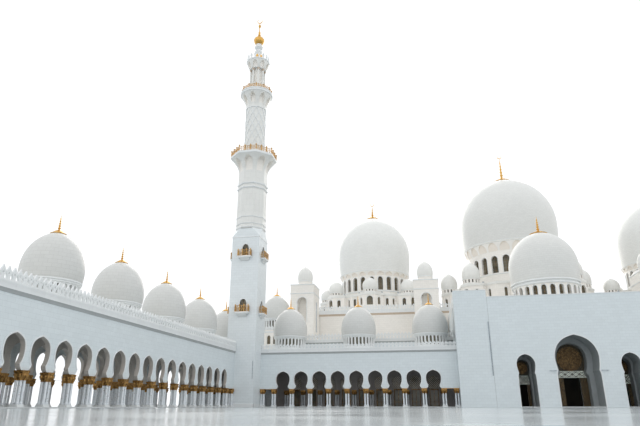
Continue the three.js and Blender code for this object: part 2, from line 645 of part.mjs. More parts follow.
function buildPodium(label, spec, podium) {
  const group = placed(spec.x, spec.y);
  const walls = podiumWalls(podium, HALL_CORNICE + GAP);
  const well = roundHole(0, 0, spec.drum - 1.1, podium.top - 2, podium.top + 2, 12);
  const domes = steps(0, Math.PI / 4, 8).map((angle) => smallDome(podium.ring * Math.cos(angle),
    podium.ring * Math.sin(angle), podium.ringR, podium.top, podium.ringTop));
  add(`${label}_podium`, join([cut(walls, [well]), ...domes]), WARM_MARBLE, group);
}

// Prayer hall

function buildFloor() {
  const front = PORTAL_FRONT + PORTAL_DEEP + GAP;
  const porches = [[-SIDE_PORTAL, SMALL_ARCH], [0, MAIN_ARCH], [SIDE_PORTAL, SMALL_ARCH]].map(([x, arch]) => {
    const half = arch[0][0] - GAP;
    return box(x - half, x + half, PORTAL_FRONT, front + 0.5, 0, SEAT);
  });
  const hall = box(-HALL_HALF, HALL_HALF, HALL_FRONT, HALL_BACK, 0, SEAT);
  const entry = box(-PORTAL_HALF, PORTAL_HALF, front, HALL_FRONT + 1, 0, SEAT);
  add('hall_and_portal_floor', join([hall, entry, ...porches]), DARK_MARBLE);
}

// Straight wall along X with a wider cornice band at its top
function corniceWall(x0, x1, y0, y1, out0, out1) {
  const wall = box(x0, x1, y0, y1, SEAT + GAP, HALL_TOP);
  return wall.add(box(x0, x1, y0 - out0, y1 + out1, HALL_CORNICE, HALL_PARAPET));
}

function buildHallWalls() {
  const front = corniceWall(-HALL_HALF, HALL_HALF, HALL_FRONT, HALL_FRONT + HALL_WALL, CORNICE_OUT, 0);
  const door = panel(archOutline(0, HALL_DOOR), HALL_FRONT - 1, HALL_FRONT + 3);
  add('hall_front_wall', cut(front, [door]), WARM_MARBLE);
  const back = corniceWall(-HALL_HALF, HALL_HALF, HALL_BACK - HALL_WALL, HALL_BACK, 0, CORNICE_OUT);
  const y0 = HALL_FRONT + HALL_WALL + GAP;
  const y1 = HALL_BACK - HALL_WALL;
  const sides = [-1, 1].flatMap((side) => {
    const edge = side * HALL_HALF;
    const inner = edge - side * HALL_WALL;
    const lip = edge + side * CORNICE_OUT;
    return [box(Math.min(edge, inner), Math.max(edge, inner), y0, y1, SEAT + GAP, HALL_TOP),
      box(Math.min(lip, inner), Math.max(lip, inner), y0, y1, HALL_CORNICE, HALL_PARAPET)];
  });
  add('hall_side_and_back_walls', join([back, ...sides]), WARM_MARBLE);
}

function buildHallRoof() {
  const reach = HALL_HALF - HALL_WALL - GAP;
  const y0 = HALL_FRONT + HALL_WALL + GAP;
  const slab = box(-reach, reach, y0, HALL_BACK - HALL_WALL - GAP, HALL_CORNICE - ROOF_SLAB, HALL_CORNICE);
  const wells = [[0, MAIN, MAIN_PODIUM], [-WING.x, WING, WING_PODIUM], [WING.x, WING, WING_PODIUM]]
    .map(([x, spec, podium]) => prism(octagonPlan(podium.half - 1.6), 0, 40).translate([x, spec.y, 0]));
  add('hall_roof', cut(slab, wells), MARBLE);
}

function buildHallDomes() {
  buildPodium('main', MAIN, MAIN_PODIUM);
  buildDome('main', MAIN, { drumThick: 1.1, thick: 0.9, sides: 18, spireHeight: 8.9, moon: 0.9 });
  for (const [side, label] of [[-1, 'left'], [1, 'right']]) {
    const spec = { ...WING, x: side * WING.x };
    buildPodium(label, spec, WING_PODIUM);
    buildDome(label, spec, { drumThick: 1.0, thick: 0.8, sides: 18, spireHeight: 4.6, moon: 0.8 });
  }
}

// Turrets in front of the hall and the blocks at its flanks

function turret() {
  const depth = (HALL_FRONT - TURRET_FRONT) / 2;
  const body = tube(TURRET_HALF, depth - 0.16, TURRET_WALL, BLOCK_ROOF + GAP, TURRET_TOP);
  const lid = box(0.1 - TURRET_HALF, TURRET_HALF - 0.1, 0.3 - depth, depth - 0.3, TURRET_TOP - 0.5, TURRET_TOP);
  const opening = panel(archOutline(0, TURRET_ARCH), -depth - 1, -depth + 1.5);
  return join([cut(body, [opening]), lid, smallDome(0, 0, TURRET_DOME.r, TURRET_TOP, TURRET_DOME.top)]);
}

function flankBlock() {
  const inner = FLANK_HALF - 0.1;
  const body = tube(FLANK_HALF, FLANK_HALF, FLANK_WALL, 0, FLANK_ROOF);
  const lid = box(-inner, inner, -inner, inner, FLANK_ROOF - 0.65, FLANK_ROOF);
  const well = roundHole(0, 0, DOME_WELL, FLANK_ROOF - 2, FLANK_ROOF + 1, 12);
  return join([body, cut(lid, [well]), arcadeDome(0, 0, FLANK_ROOF)]);
}

function buildTurrets() {
  const middle = (TURRET_FRONT + HALL_FRONT) / 2 - 0.155;
  for (const [side, label] of [[-1, 'left'], [1, 'right']]) {
    add(`${label}_outer_turret`, turret(), WARM_MARBLE, placed(side * TURRETS[0], middle));
    add(`${label}_inner_turret`, turret(), WARM_MARBLE, placed(side * TURRETS[1], middle));
    add(`${label}_flank_block`, flankBlock(), WARM_MARBLE, placed(side * FLANK_X, FLANK_Y));
  }
}

buildFrontArcade(-1, 'left');
buildFrontArcade(1, 'right');
buildSideArcade();
buildMinaret(-1, 'left');
buildMinaret(1, 'right');
buildPortal();
buildFloor();
buildHallWalls();
buildHallRoof();
buildHallDomes();
buildTurrets();

export default model;
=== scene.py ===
from math import asin, atan2, cos, hypot, pi, radians, sin, sqrt, tan
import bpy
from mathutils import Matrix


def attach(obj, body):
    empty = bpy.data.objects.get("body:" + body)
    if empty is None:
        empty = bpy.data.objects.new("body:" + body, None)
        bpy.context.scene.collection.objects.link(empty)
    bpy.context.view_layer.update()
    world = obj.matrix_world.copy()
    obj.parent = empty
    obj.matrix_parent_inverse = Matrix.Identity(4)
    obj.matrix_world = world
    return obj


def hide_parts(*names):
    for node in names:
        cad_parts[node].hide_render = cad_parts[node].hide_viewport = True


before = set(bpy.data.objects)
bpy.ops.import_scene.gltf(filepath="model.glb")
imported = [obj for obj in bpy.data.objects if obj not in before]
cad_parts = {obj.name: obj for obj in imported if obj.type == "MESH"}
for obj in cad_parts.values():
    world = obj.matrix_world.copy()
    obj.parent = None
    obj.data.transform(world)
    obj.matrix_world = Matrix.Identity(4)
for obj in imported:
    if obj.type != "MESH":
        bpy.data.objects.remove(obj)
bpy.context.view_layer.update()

from types import SimpleNamespace as Spec

import bmesh
import bpy
from mathutils import Vector
from mathutils.geometry import tessellate_polygon

# Sizes below are metres of the real building; the model is a tenth of it.
U = 0.1
GAP = 0.003
FLOOR_TOP = 0.15
WALL_FOOT = FLOOR_TOP + GAP
DOOR_FOOT = 0.16

# Arcades
BAY = 4.27
DEPTH = 12.8
ARCH_WALL = 0.6
BACK_WALL = 1.0
CAPITAL_TOP = 3.95
ARCADE_TOP = 12.85
ROOF_FOOT = 12.2
CORNICE_OUT = 0.27
FLOOR_OUT = 0.29
FRONT_ROW = 0.3
BACK_ROW = 12.2
MERLON_PITCH = 0.854
MERLON_THICK = 0.22
FRONT_CENTRE = 46.485
FRONT_HALF = 22.482
BLOCK_BACK = 36.29
BLOCK_TOP = 16.2
DOME_LINE = 6.4
DOME_HOLE = 3.55
ARCADE_DOME = Spec(r=4.2, rise=5.42, mid=17.8, foot=16.2, drum=3.8, lift=0.07)
ARCH_SIDE = [
    (1.67, 3.95), (1.45, 4.08), (1.27, 4.33), (1.17, 4.62), (1.17, 4.62), (1.4, 4.98), (1.56, 5.5),
    (1.61, 6.15), (1.52, 6.75), (1.26, 7.2), (0.8, 7.55), (0.38, 7.73), (0.0, 7.86),
]
DOOR_SIDE = [
    (1.12, DOOR_FOOT), (1.12, 2.4), (1.08, 4.1), (1.08, 4.1), (1.3, 4.6), (1.45, 5.3), (1.42, 6.1),
    (1.1, 6.75), (0.6, 7.02), (0.0, 7.2),
]
DOOR_HEAD = 4.05

# Left side arcade, drawn along X and turned a quarter; its notch holds the minaret
SIDE_FACE = -73.8
SIDE_START = -79.4
SIDE_END = -4.883
SIDE_CORNER = DEPTH - GAP
SIDE_NOTCH = [(SIDE_END, 2.033), (1.983, 2.033), (1.983, -4.83), (SIDE_CORNER, -4.83)]
SIDE_FIRST_ARCH = -75.06
SIDE_MIDDLE_ROW = 6.4
SIDE_OUTER_ROW = 12.4
SIDE_DOME_LINE = 6.8
SIDE_DOMES = [6.07, -11.0, -28.08, -45.16, -62.24]

# Minarets
MINARET_X = 72.4
MINARET_Y = -1.45
SHAFT_HALF = 3.43
SQUARE_TOP = 39.7
BALCONY_FLOORS = (20.6, 34.1)
ROUND_R = 2.62

# Portal
PORTAL_HALF = 24.0
PORTAL_FRONT = -3.2
PORTAL_BACK = 1.8
DOOR_PLANE = 4.0
PIER_INNER = 16.9
PIER_TOP = 24.65
PORTAL_TOP = 23.1
PORTAL_ROOF = 22.6
PORTAL_SLAB = 0.8
SCREEN_TOP = 21.79
SIDE_PORTAL = 10.2
MAIN_SIDE = [
    (4.2, 0.0), (4.2, 3.5), (4.17, 6.3), (3.97, 7.2), (3.97, 7.2), (4.14, 8.2), (4.3, 9.7),
    (4.12, 11.0), (3.5, 12.4), (2.4, 13.5), (1.2, 14.1), (0.0, 14.46),
]
SMALL_SIDE = [
    (1.78, 0.0), (1.78, 3.0), (1.74, 6.1), (1.56, 6.75), (1.56, 6.75), (1.72, 7.4), (1.86, 8.4),
    (1.75, 9.2), (1.4, 9.85), (0.8, 10.35), (0.0, 10.62),
]
MAIN_INNER = [
    (3.1, WALL_FOOT), (3.1, 5.9), (2.85, 6.6), (2.62, 7.15), (2.62, 7.15), (2.86, 7.9), (3.02, 9.0),
    (3.02, 10.2), (2.75, 11.4), (2.1, 12.35), (1.1, 12.95), (0.0, 13.15),
]
SMALL_INNER = [
    (1.42, WALL_FOOT), (1.42, 5.2), (1.34, 6.0), (1.2, 6.55), (1.2, 6.55), (1.34, 7.2), (1.42, 8.0),
    (1.36, 8.7), (1.1, 9.3), (0.6, 9.72), (0.0, 9.85),
]
MAIN_ARCH = Spec(
    side=MAIN_SIDE, inner=MAIN_INNER, trim=0.2, ring=2.55, ring_z=10.0, jamb=2.95, band_foot=6.05,
    band_top=7.45, door=1.72,
)
SMALL_ARCH = Spec(
    side=SMALL_SIDE, inner=SMALL_INNER, trim=0.14, ring=1.22, ring_z=8.2, jamb=1.38, band_foot=4.75,
    band_top=6.6, door=0.85,
)
PORTAL_ARCHES = ((-SIDE_PORTAL, SMALL_ARCH), (0.0, MAIN_ARCH), (SIDE_PORTAL, SMALL_ARCH))

# Prayer hall
HALL_HALF = 69.0
HALL_FRONT = 36.3
HALL_BACK = 95.7
HALL_WALL = 1.2
HALL_SLAB = 0.8
HALL_CORNICE = 26.6
HALL_TOP = 27.5
HALL_DOOR = [(4.0, WALL_FOOT), (4.0, 9.0), (3.6, 10.8), (2.2, 12.3), (0.0, 13.0)]

# Large domes; the scallops are given as the ring's foot, the niches' spring and tip, the ring's top
FOOT_SHARE = 0.955
ENTRY = Spec(
    x=0.0, y=17.0, r=8.4, rise=9.3, lift=0.04, mid=33.3, foot=29.0, drum=7.75, drum_foot=22.6,
    plinth=0.35, sill=25.3, head=27.95, half=0.66, scallop=None, skirt=2.2, spire=4.3, moon=0.0, tone=0.88,
)
MAIN = Spec(
    x=0.0, y=65.5, r=16.2, rise=17.1, lift=0.075, mid=59.5, foot=50.8, drum=14.4, drum_foot=36.6,
    plinth=0.9, sill=40.9, head=46.6, half=1.15, scallop=(48.1, 49.0, 51.0, 51.25), skirt=2.9,
    spire=8.35, moon=0.8, tone=0.93,
)
WING = Spec(
    x=47.6, y=66.0, r=12.8, rise=13.75, lift=0.1, mid=51.5, foot=44.0, drum=11.5, drum_foot=35.0,
    plinth=0.8, sill=37.3, head=41.9, half=0.92, scallop=(42.25, 42.7, 43.5, 43.75), skirt=2.3,
    spire=4.4, moon=0.7, tone=1.0,
)
WINDOWS = 24

# Eight-sided podiums with a bay on each side
PODIUM_SLAB = 0.8
MAIN_PODIUM = Spec(
    half=20.3, top=36.6, bay_front=1.9, bay_back=4.5, reach=24.4, ring=21.7, ring_r=2.85,
    ring_top=44.1, arch=1.2, side=5.7, sill=31.2, head=35.0,
)
WING_PODIUM = Spec(
    half=15.7, top=35.0, bay_front=1.6, bay_back=4.2, reach=19.4, ring=17.0, ring_r=2.5,
    ring_top=40.4, arch=1.0, side=5.3, sill=30.9, head=33.8,
)
CHEEK_WINDOW = 0.55
FLAT_WINDOW = 0.42

# Turrets and flank blocks
TURRETS = (("outer", 65.45), ("inner", 29.75))
TURRET_Y = 31.595
TURRET_HALF = 3.45
TURRET_DEPTH = 4.39
TURRET_FOOT = BLOCK_TOP + GAP
TURRET_TOP = 34.2
TURRET_ARCH = [
    (1.4, 23.1), (1.4, 24.0), (1.38, 27.2), (1.22, 27.9), (1.22, 27.9), (1.4, 28.5), (1.38, 29.2),
    (0.98, 29.95), (0.45, 30.25), (0.0, 30.35),
]
GRILLE_FOOT = 20.6
GRILLE_TOP = 29.4
FLANK_X = 73.503
FLANK_Y = 29.0
FLANK_HALF = 4.5
FLANK_TOP = 20.75

# Camera of the photograph; its place is in metres of the model
CAMERA_AT = (-3.0, -12.82, 0.024)
CAMERA_PITCH = 109.42
CAMERA_YAW = 10.96
FOCAL_SHARE = 548.0 / 640.0


# Materials


class Look:
    """A material and short ways to join the nodes of its colour, gloss and relief."""

    def __init__(self, name):
        self.mat = bpy.data.materials.new(name)
        self.mat.use_nodes = True
        self.mat.node_tree.nodes.clear()
        self.shader = self.node("ShaderNodeBsdfPrincipled")
        self.node("ShaderNodeOutputMaterial", {0: self.shader.outputs[0]})
        coord = self.node("ShaderNodeTexCoord")
        self.spot, self.normal = coord.outputs["Object"], coord.outputs["Normal"]

    def feed(self, node, inputs):
        """Sets a node's inputs: an output of another node is linked, a value or a colour is kept."""
        for socket, value in inputs.items():
            if isinstance(value, bpy.types.NodeSocket):
                self.mat.node_tree.links.new(value, node.inputs[socket])
            else:
                node.inputs[socket].default_value = (*value, 1) if isinstance(value, tuple) else value

    def node(self, kind, inputs=None):
        node = self.mat.node_tree.nodes.new(kind)
        self.feed(node, inputs or {})
        return node

    def math(self, kind, *values):
        node = self.node("ShaderNodeMath", dict(enumerate(values)))
        node.operation = kind
        return node.outputs[0]

    def mix(self, share, first, second):
        node = self.node("ShaderNodeMix")
        node.data_type = "RGBA"
        self.feed(node, {0: share, 6: first, 7: second})
        return node.outputs[2]

    def ramp(self, value, low, high, out_low, out_high):
        limits = enumerate((value, low, high, out_low, out_high))
        return self.node("ShaderNodeMapRange", dict(limits)).outputs[0]

    def noise(self, scale, detail=4.0, rough=0.55):
        inputs = {"Scale": scale, "Detail": detail, "Roughness": rough, "Vector": self.spot}
        return self.node("ShaderNodeTexNoise", inputs).outputs["Fac"]

    def bump(self, height, strength, distance):
        inputs = {"Strength": strength, "Distance": distance * U, "Height": height}
        self.feed(self.shader, {"Normal": self.node("ShaderNodeBump", inputs).outputs[0]})

    def surface(self, colour, rough, **others):
        self.feed(self.shader, {"Base Color": colour, "Roughness": rough, **others})


def slab_coords(look, radius):
    """Runs along the wall and up it: by angle on a round piece, else by the face's direction."""
    x, y, z = look.node("ShaderNodeSeparateXYZ", {0: look.spot}).outputs
    if radius:
        along = look.math("MULTIPLY", look.math("ARCTAN2", y, x), radius * U)
    else:
        facing = look.node("ShaderNodeSeparateXYZ", {0: look.normal})
        sideways = look.math("GREATER_THAN", look.math("ABSOLUTE", facing.outputs[0]), 0.6)
        along = look.node("ShaderNodeMix", {0: sideways, 2: x, 3: y}).outputs[0]
    return look.node("ShaderNodeCombineXYZ", {0: along, 1: z}).outputs[0]


def scaled(colour, share):
    return tuple(c * share for c in colour)


def stone(name, colour, joint, row=0.6, slab_size=1.2, radius=0.0, rough=(0.32, 0.5), seam=0.014,
          veins=0.5, bump=0.25):
    """Marble in slabs: joints by a brick pattern, soft veins and clouds by noise."""
    look = Look(name)
    slabs = look.node("ShaderNodeTexBrick", {
        "Vector": slab_coords(look, radius), "Scale": 1.0, "Brick Width": slab_size * U,
        "Row Height": row * U, "Mortar Size": seam * U, "Mortar Smooth": 0.3, "Bias": 0.0,
        "Color1": colour, "Color2": scaled(colour, 0.955), "Mortar": joint,
    })
    clouds = look.ramp(look.noise(2.2, 5.0), 0.35, 0.7, 0.0, 0.22)
    fine = look.noise(14.0, 7.0, 0.7)
    vein = look.ramp(fine, 0.52, 0.66, 0.0, veins * 0.35)
    tinted = look.mix(vein, slabs.outputs["Color"], scaled(colour, 0.8))
    look.surface(look.mix(clouds, tinted, scaled(colour, 0.88)), look.ramp(fine, 0.3, 0.7, *rough))
    height = look.math("SUBTRACT", look.math("MULTIPLY", fine, 0.15), slabs.outputs["Fac"])
    look.bump(height, bump, 0.02)
    return look.mat


def metal(name, colour, dark, rough=(0.22, 0.42), grain=60.0, metallic=1.0):
    """Gilded metal: worn darker in the hollows of a fine noise, hammered a little."""
    look = Look(name)
    fine = look.noise(grain, 5.0)
    worn = look.mix(look.ramp(fine, 0.35, 0.65, 0.0, 1.0), dark, colour)
    look.surface(worn, look.ramp(fine, 0.3, 0.7, rough[1], rough[0]), Metallic=metallic)
    look.bump(fine, 0.2, 0.01)
    return look.mat


def glass(name, colour, second, rough=0.08, scale=3.0, ior=1.5):
    """Dark window glass, with some panes darker than others."""
    look = Look(name)
    patch = look.noise(scale, 2.0)
    tint = look.mix(look.ramp(patch, 0.4, 0.6, 0.0, 1.0), colour, second)
    look.surface(tint, look.ramp(patch, 0.3, 0.7, rough, rough + 0.12), IOR=ior)
    return look.mat


def inlaid(name, colour, leaf):
    """Pale column marble with small dark leaves set into it."""
    look = Look(name)
    spots = look.node("ShaderNodeTexVoronoi", {"Scale": 38.0, "Vector": look.spot})
    leaves = look.ramp(spots.outputs["Distance"], 0.16, 0.24, 0.75, 0.0)
    soft = look.noise(9.0, 6.0, 0.6)
    base = look.mix(look.ramp(soft, 0.4, 0.7, 0.0, 0.3), colour, scaled(colour, 0.85))
    look.surface(look.mix(leaves, base, leaf), look.ramp(soft, 0.3, 0.7, 0.18, 0.34))
    return look.mat


def dome_material(name, radius, tone):
    return stone(name, scaled((0.80, 0.805, 0.78), tone), scaled((0.66, 0.66, 0.63), tone), row=0.55,
                 slab_size=1.1, radius=radius, seam=0.02, veins=0.4, bump=0.3)


DULL = (0.4, 0.6)
MAT = {
    # Painted light: the blue-grey tint of the cool marble stands for cool shade on the near walls, the beige
    # of the warm marble for warm light on the far walls.
    "marble": stone("cool_shade_marble", (0.705, 0.765, 0.785), (0.56, 0.61, 0.63)),
    "warm": stone("warm_marble", (0.88, 0.85, 0.80), (0.71, 0.68, 0.63)),
    "tower": stone("tower_marble", (0.765, 0.81, 0.825), (0.61, 0.65, 0.66)),
    "trim": stone("trim_marble", (0.80, 0.82, 0.82), (0.67, 0.69, 0.69), 2.4, 2.4),
    # Cream marble for the scallop rings: brightened as painted light on their downward faces.
    "cream": stone("cream_lit_marble", (0.93, 0.91, 0.87), (0.78, 0.75, 0.71), 2.4, 2.4),
    "roof": stone("roof_marble", (0.79, 0.79, 0.76), (0.63, 0.63, 0.60), 1.5, 1.5),
    "reveal": stone("shaded_reveal_marble", (0.38, 0.355, 0.34), (0.30, 0.275, 0.26), 0.9, 1.6, rough=DULL),
    # Arch soffits and the wall seen through the side arches: marble darkened as painted shade.
    "arch": stone("arch_soffit_shade_marble", (0.54, 0.50, 0.455), (0.43, 0.395, 0.36), 0.9, 1.6, rough=DULL),
    # Portal reveals and inner order: cool dark marble as painted shade.
    "porch": stone("porch_shade_marble", (0.32, 0.345, 0.35), (0.25, 0.27, 0.275), 0.9, 1.6, rough=DULL),
    # Darker marble for cornice coves and other soffits: painted shade.
    "shade": stone("soffit_shade_marble", (0.44, 0.46, 0.46), (0.37, 0.38, 0.38), 2.4, 2.4, rough=DULL),
    # Warm brown under the hall cornice and on the lantern heads: painted shade.
    "brown": stone("warm_soffit_shade_marble", (0.58, 0.47, 0.37), (0.44, 0.35, 0.27), 2.4, 2.4, rough=DULL),
    "floor": stone("floor_marble", (0.64, 0.66, 0.66), (0.52, 0.54, 0.54), 1.2, 1.2, rough=(0.12, 0.3)),
    # Near-black ceiling under the roof slabs: painted shade.
    "ceiling": stone("ceiling_shade_plaster", (0.15, 0.125, 0.105), (0.10, 0.085, 0.07), 2.0, 2.0,
                     rough=(0.5, 0.8)),
    # Hollows of the scallop niches: warm tint as painted shade under their arcs.
    "scallop": stone("scallop_hollow_shade_marble", (0.88, 0.82, 0.74), (0.75, 0.69, 0.62), 2.4, 2.4),
    "pale": stone("pale_green_marble", (0.90, 0.95, 0.85), (0.74, 0.78, 0.69), 3.0, 3.0),
    "shaft": inlaid("column_marble", (0.76, 0.80, 0.83), (0.32, 0.28, 0.22)),
    "gold": metal("gilded_metal", (0.88, 0.54, 0.15), (0.48, 0.26, 0.07)),
    "capital": metal("palm_gold", (0.52, 0.30, 0.10), (0.19, 0.10, 0.03), (0.35, 0.55), 40.0, 0.85),
    "bronze": metal("bronze_lattice", (0.24, 0.15, 0.06), (0.07, 0.04, 0.02), (0.35, 0.6), 30.0, 0.8),
    "rail": metal("gilded_railing", (0.72, 0.44, 0.16), (0.34, 0.19, 0.07), (0.3, 0.5), 30.0, 0.8),
    "steel": metal("grey_light_fitting", (0.40, 0.45, 0.50), (0.20, 0.23, 0.26), (0.3, 0.5), metallic=0.5),
    "glass": glass("window_glass", (0.09, 0.085, 0.062), (0.19, 0.17, 0.12)),
    # Near-black glass behind doorways and drum slits: painted shade of the dark inside.
    "dark": glass("doorway_shade_glass", (0.004, 0.004, 0.004), (0.010, 0.009, 0.007), 0.45, ior=1.08),
    # Brown mosaic, partly its own colour and partly darkened as painted shade deep in the portal arches.
    "mosaic": glass("brown_mosaic_and_shade", (0.03, 0.026, 0.016), (0.085, 0.07, 0.04), 0.3, 40.0, 1.3),
}
ARCADE_DOME_MAT = dome_material("arcade_dome_marble", 4.0, 0.8)


# Shapes: a part is a list of (points, faces, material key)


def placed(part, x=0.0, y=0.0, z=0.0, turn=0.0):
    c, s = cos(turn), sin(turn)
    return [([(x + c * a - s * b, y + s * a + c * b, z + h) for a, b, h in points], faces, key)
            for points, faces, key in part]


def turns(count, start=0.0):
    """Angles of even steps round a circle."""
    return [start + 2 * pi * k / count for k in range(count)]


def around(part, count, start=0.0):
    """The part repeated round the upright axis."""
    return [piece for turn in turns(count, start) for piece in placed(part, turn=turn)]


def facing_x(way, make_row, low, high, edge):
    """A row drawn for a wall that looks to -Y, on a wall that looks to +X or -X."""
    if way > 0:
        return placed(make_row(low, high, -edge), turn=pi / 2)
    return placed(make_row(-high, -low, edge), turn=-pi / 2)


def span(sign, a, b):
    """Two distances from the middle, on the side that the sign names, smaller value first."""
    return sorted((sign * a, sign * b))


def rectangle(half, low, high):
    return [(-half, low), (half, low), (half, high), (-half, high)]


def mirrored(side, centre=0.0, way=1):
    """Line out of half widths and heights, from one foot over its tip down to the other."""
    near = [(centre - way * w, z) for w, z in side]
    return near + [(centre + way * w, z) for w, z in side[:-1]][::-1]


def strip(count, start, shift):
    """Faces between a closed loop of points and its copy, which is shift points further on."""
    pairs = [(start + i, start + (i + 1) % count) for i in range(count)]
    return [(a, a + shift, b + shift, b) for a, b in pairs]


def tube(loops, key):
    """Closed solid through loops of points, one after the other."""
    count = len(loops[0])
    last = (len(loops) - 1) * count
    faces = [tuple(range(count))[::-1], tuple(range(last, last + count))]
    for start in range(0, last, count):
        faces += [face[::-1] for face in strip(count, start, count)]
    return [([point for loop in loops for point in loop], faces, key)]


def plate(loop, y0, y1, key):
    """Flat solid between two planes that face -Y, without holes."""
    return tube([[(x, y, z) for x, z in loop] for y in (y1, y0)], key)


def box(x0, x1, y0, y1, z0, z1, key="marble"):
    corners = [(x0, y0), (x1, y0), (x1, y1), (x0, y1)]
    return tube([[(x, y, z) for x, y in corners] for z in (z0, z1)], key)


def post_box(x, y, half, z0, z1, key="trim"):
    return box(x - half, x + half, y - half, y + half, z0, z1, key)


def lathe(profile, n, key="marble", turn=0.0, lobes=0, depth=None):
    """Turned shape; depth gives how far each ring swells and shrinks over the lobes."""
    points, rings, faces = [], [], []
    for i, (r, z) in enumerate(profile):
        angles = turns(n, turn) if r > 1e-6 else [0.0]
        rings.append([len(points) + k % len(angles) for k in range(n)])
        for angle in angles:
            wide = r * (1 + depth[i] * cos(lobes * angle)) if lobes else r
            points.append((wide * cos(angle), wide * sin(angle), z))
    for low, high in zip(rings, rings[1:]):
        for k in range(n):
            j = (k + 1) % n
            face = tuple(dict.fromkeys((low[k], low[j], high[j], high[k])))
            if len(face) > 2:
                faces.append(face)
    return [(points, faces, key)]


def spun(profile, n, key="trim", **others):
    """Turned solid whose profile is closed to the axis, level with its two ends."""
    return lathe([(0.0, profile[0][1])] + profile + [(0.0, profile[-1][1])], n, key, **others)


def hoop(inner, profile, n, key="trim"):
    """Turned moulding that closes on itself at an inner radius."""
    low, high = profile[0][1], profile[-1][1]
    return lathe([(inner, low)] + profile + [(inner, high), (inner, low)], n, key)


def octagon(profile, key="marble"):
    """Eight-sided turned shape; the radii are those of its flat faces."""
    return lathe([(r / cos(pi / 8), z) for r, z in profile], 8, key, pi / 8)


def area(outline):
    return sum(a[0] * b[1] - b[0] * a[1] for a, b in zip(outline, outline[1:] + outline[:1])) / 2


def extent(outline):
    xs, zs = zip(*outline)
    return min(xs), max(xs), min(zs), max(zs)


def triangulated(outline, holes):
    loops = [outline if area(outline) > 0 else outline[::-1]]
    loops += [hole if area(hole) < 0 else hole[::-1] for hole in holes]
    flat = [p for loop in loops for p in loop]
    kept = []
    for a, b, c in tessellate_polygon([[Vector((x, z, 0)) for x, z in loop] for loop in loops]):
        (ax, az), (bx, bz), (cx, cz) = flat[a], flat[b], flat[c]
        turned = (bx - ax) * (cz - az) - (cx - ax) * (bz - az)
        if abs(turned) > 1e-12:
            kept.append((a, b, c) if turned > 0 else (a, c, b))
    return loops, flat, kept


def layers(outline, holes):
    """An outline with holes and its copy behind it: both faces, and the strips along each loop."""
    loops, flat, near = triangulated(outline, holes)
    count = len(flat)
    far = [(a + count, c + count, b + count) for a, b, c in near]
    starts = [sum(len(loop) for loop in loops[:i]) for i in range(len(loops))]
    edges = [strip(len(loop), start, count) for loop, start in zip(loops, starts)]
    return loops, flat, near, far, edges


def panel(outline, holes, y0, y1, key="marble", reveal=None, arch_top=0.0):
    """Plate in the XZ plane from y0 back to y1.

    reveal is the material of the sides of its holes, and of the arches below arch_top in its outline.
    """
    loops, flat, near, far, edges = layers(outline, holes)
    left, right, foot = extent(outline)[:3]
    faces, inner = near + far, []
    for loop, sides in zip(loops, edges):
        for side, ends in zip(sides, zip(loop, loop[1:] + loop[:1])):
            arched = all(left < x < right and z < arch_top for x, z in ends)
            arched = arched and max(z for x, z in ends) > foot
            (inner if reveal and (arched or loop is not loops[0]) else faces).append(side)
    points = [(x, y, z) for y in (y0, y1) for x, z in flat]
    return [(points, faces, key)] + ([(points, inner, reveal)] if inner else [])


def slab(outline, holes, z0, z1, key="roof", under="ceiling"):
    """Level slab with holes; its underside has a material of its own, by default the near-black ceiling as
    painted shade.
    """
    flat, upper, lower, edges = layers(outline, holes)[1:]
    points = [(x, y, z) for z in (z1, z0) for x, y in flat]
    return [(points, upper + sum(edges, []), key), (points, lower, under)]


def spline(points, per=4):
    """Smooth line through the points."""
    ends = [points[0]] + points + [points[-1]]
    line = []
    for near in zip(ends, ends[1:], ends[2:], ends[3:]):
        for t in (i / per for i in range(per)):
            shares = (2 * t ** 2 - t - t ** 3, 2 - 5 * t ** 2 + 3 * t ** 3, t + 4 * t ** 2 - 3 * t ** 3,
                      t ** 3 - t ** 2)
            line.append(tuple(sum(s * p[k] for s, p in zip(shares, near)) / 2 for k in (0, 1)))
    return line + [points[-1]]


def arch_line(half, centre=0.0, per=4):
    """From the left foot over the top to the right foot, out of half widths and heights.

    A height given twice is a sharp corner between two smooth stretches.
    """
    side, start = [], 0
    for i in range(1, len(half) + 1):
        if i == len(half) or half[i] == half[i - 1]:
            side += spline(half[start:i], per)[(1 if side else 0):]
            start = i
    return mirrored(side, centre)


def window(w, sill, head, centre=0.0, steps=7, point=1.12):
    """Arched window outline, a little pointed."""
    spring = head - w * point
    climb = [pi / 2 * i / steps for i in range(steps + 1)]
    arc = [(w * cos(turn), spring + w * point * sin(turn)) for turn in climb]
    return [(centre - w, sill), (centre + w, sill)] + mirrored(arc, centre, -1)


def band(line, y, width, out, key="trim"):
    """Raised moulding that follows an open line on a wall that faces -Y."""
    loops = []
    for i, (x, z) in enumerate(line):
        a, b = line[max(0, i - 1)], line[min(len(line) - 1, i + 1)]
        dx, dz = b[0] - a[0], b[1] - a[1]
        size = hypot(dx, dz) or 1.0
        far_x, far_z = x - dz / size * width, max(0.0, z + dx / size * width)
        loops.append([(x, y + 0.02, z), (far_x, y + 0.02, far_z), (far_x, y - out, far_z), (x, y - out, z)])
    return tube(loops, key)


def bar(p, q, width, y, thick, key="bronze"):
    """Flat bar between two points of a wall plane."""
    dx, dz = q[0] - p[0], q[1] - p[1]
    size = hypot(dx, dz)
    if size < 1e-4:
        return []
    nx, nz = -dz / size * width / 2, dx / size * width / 2
    corners = [(p[0] - nx, p[1] - nz), (q[0] - nx, q[1] - nz), (q[0] + nx, q[1] + nz), (p[0] + nx, p[1] + nz)]
    return plate(corners, y, y + thick, key)


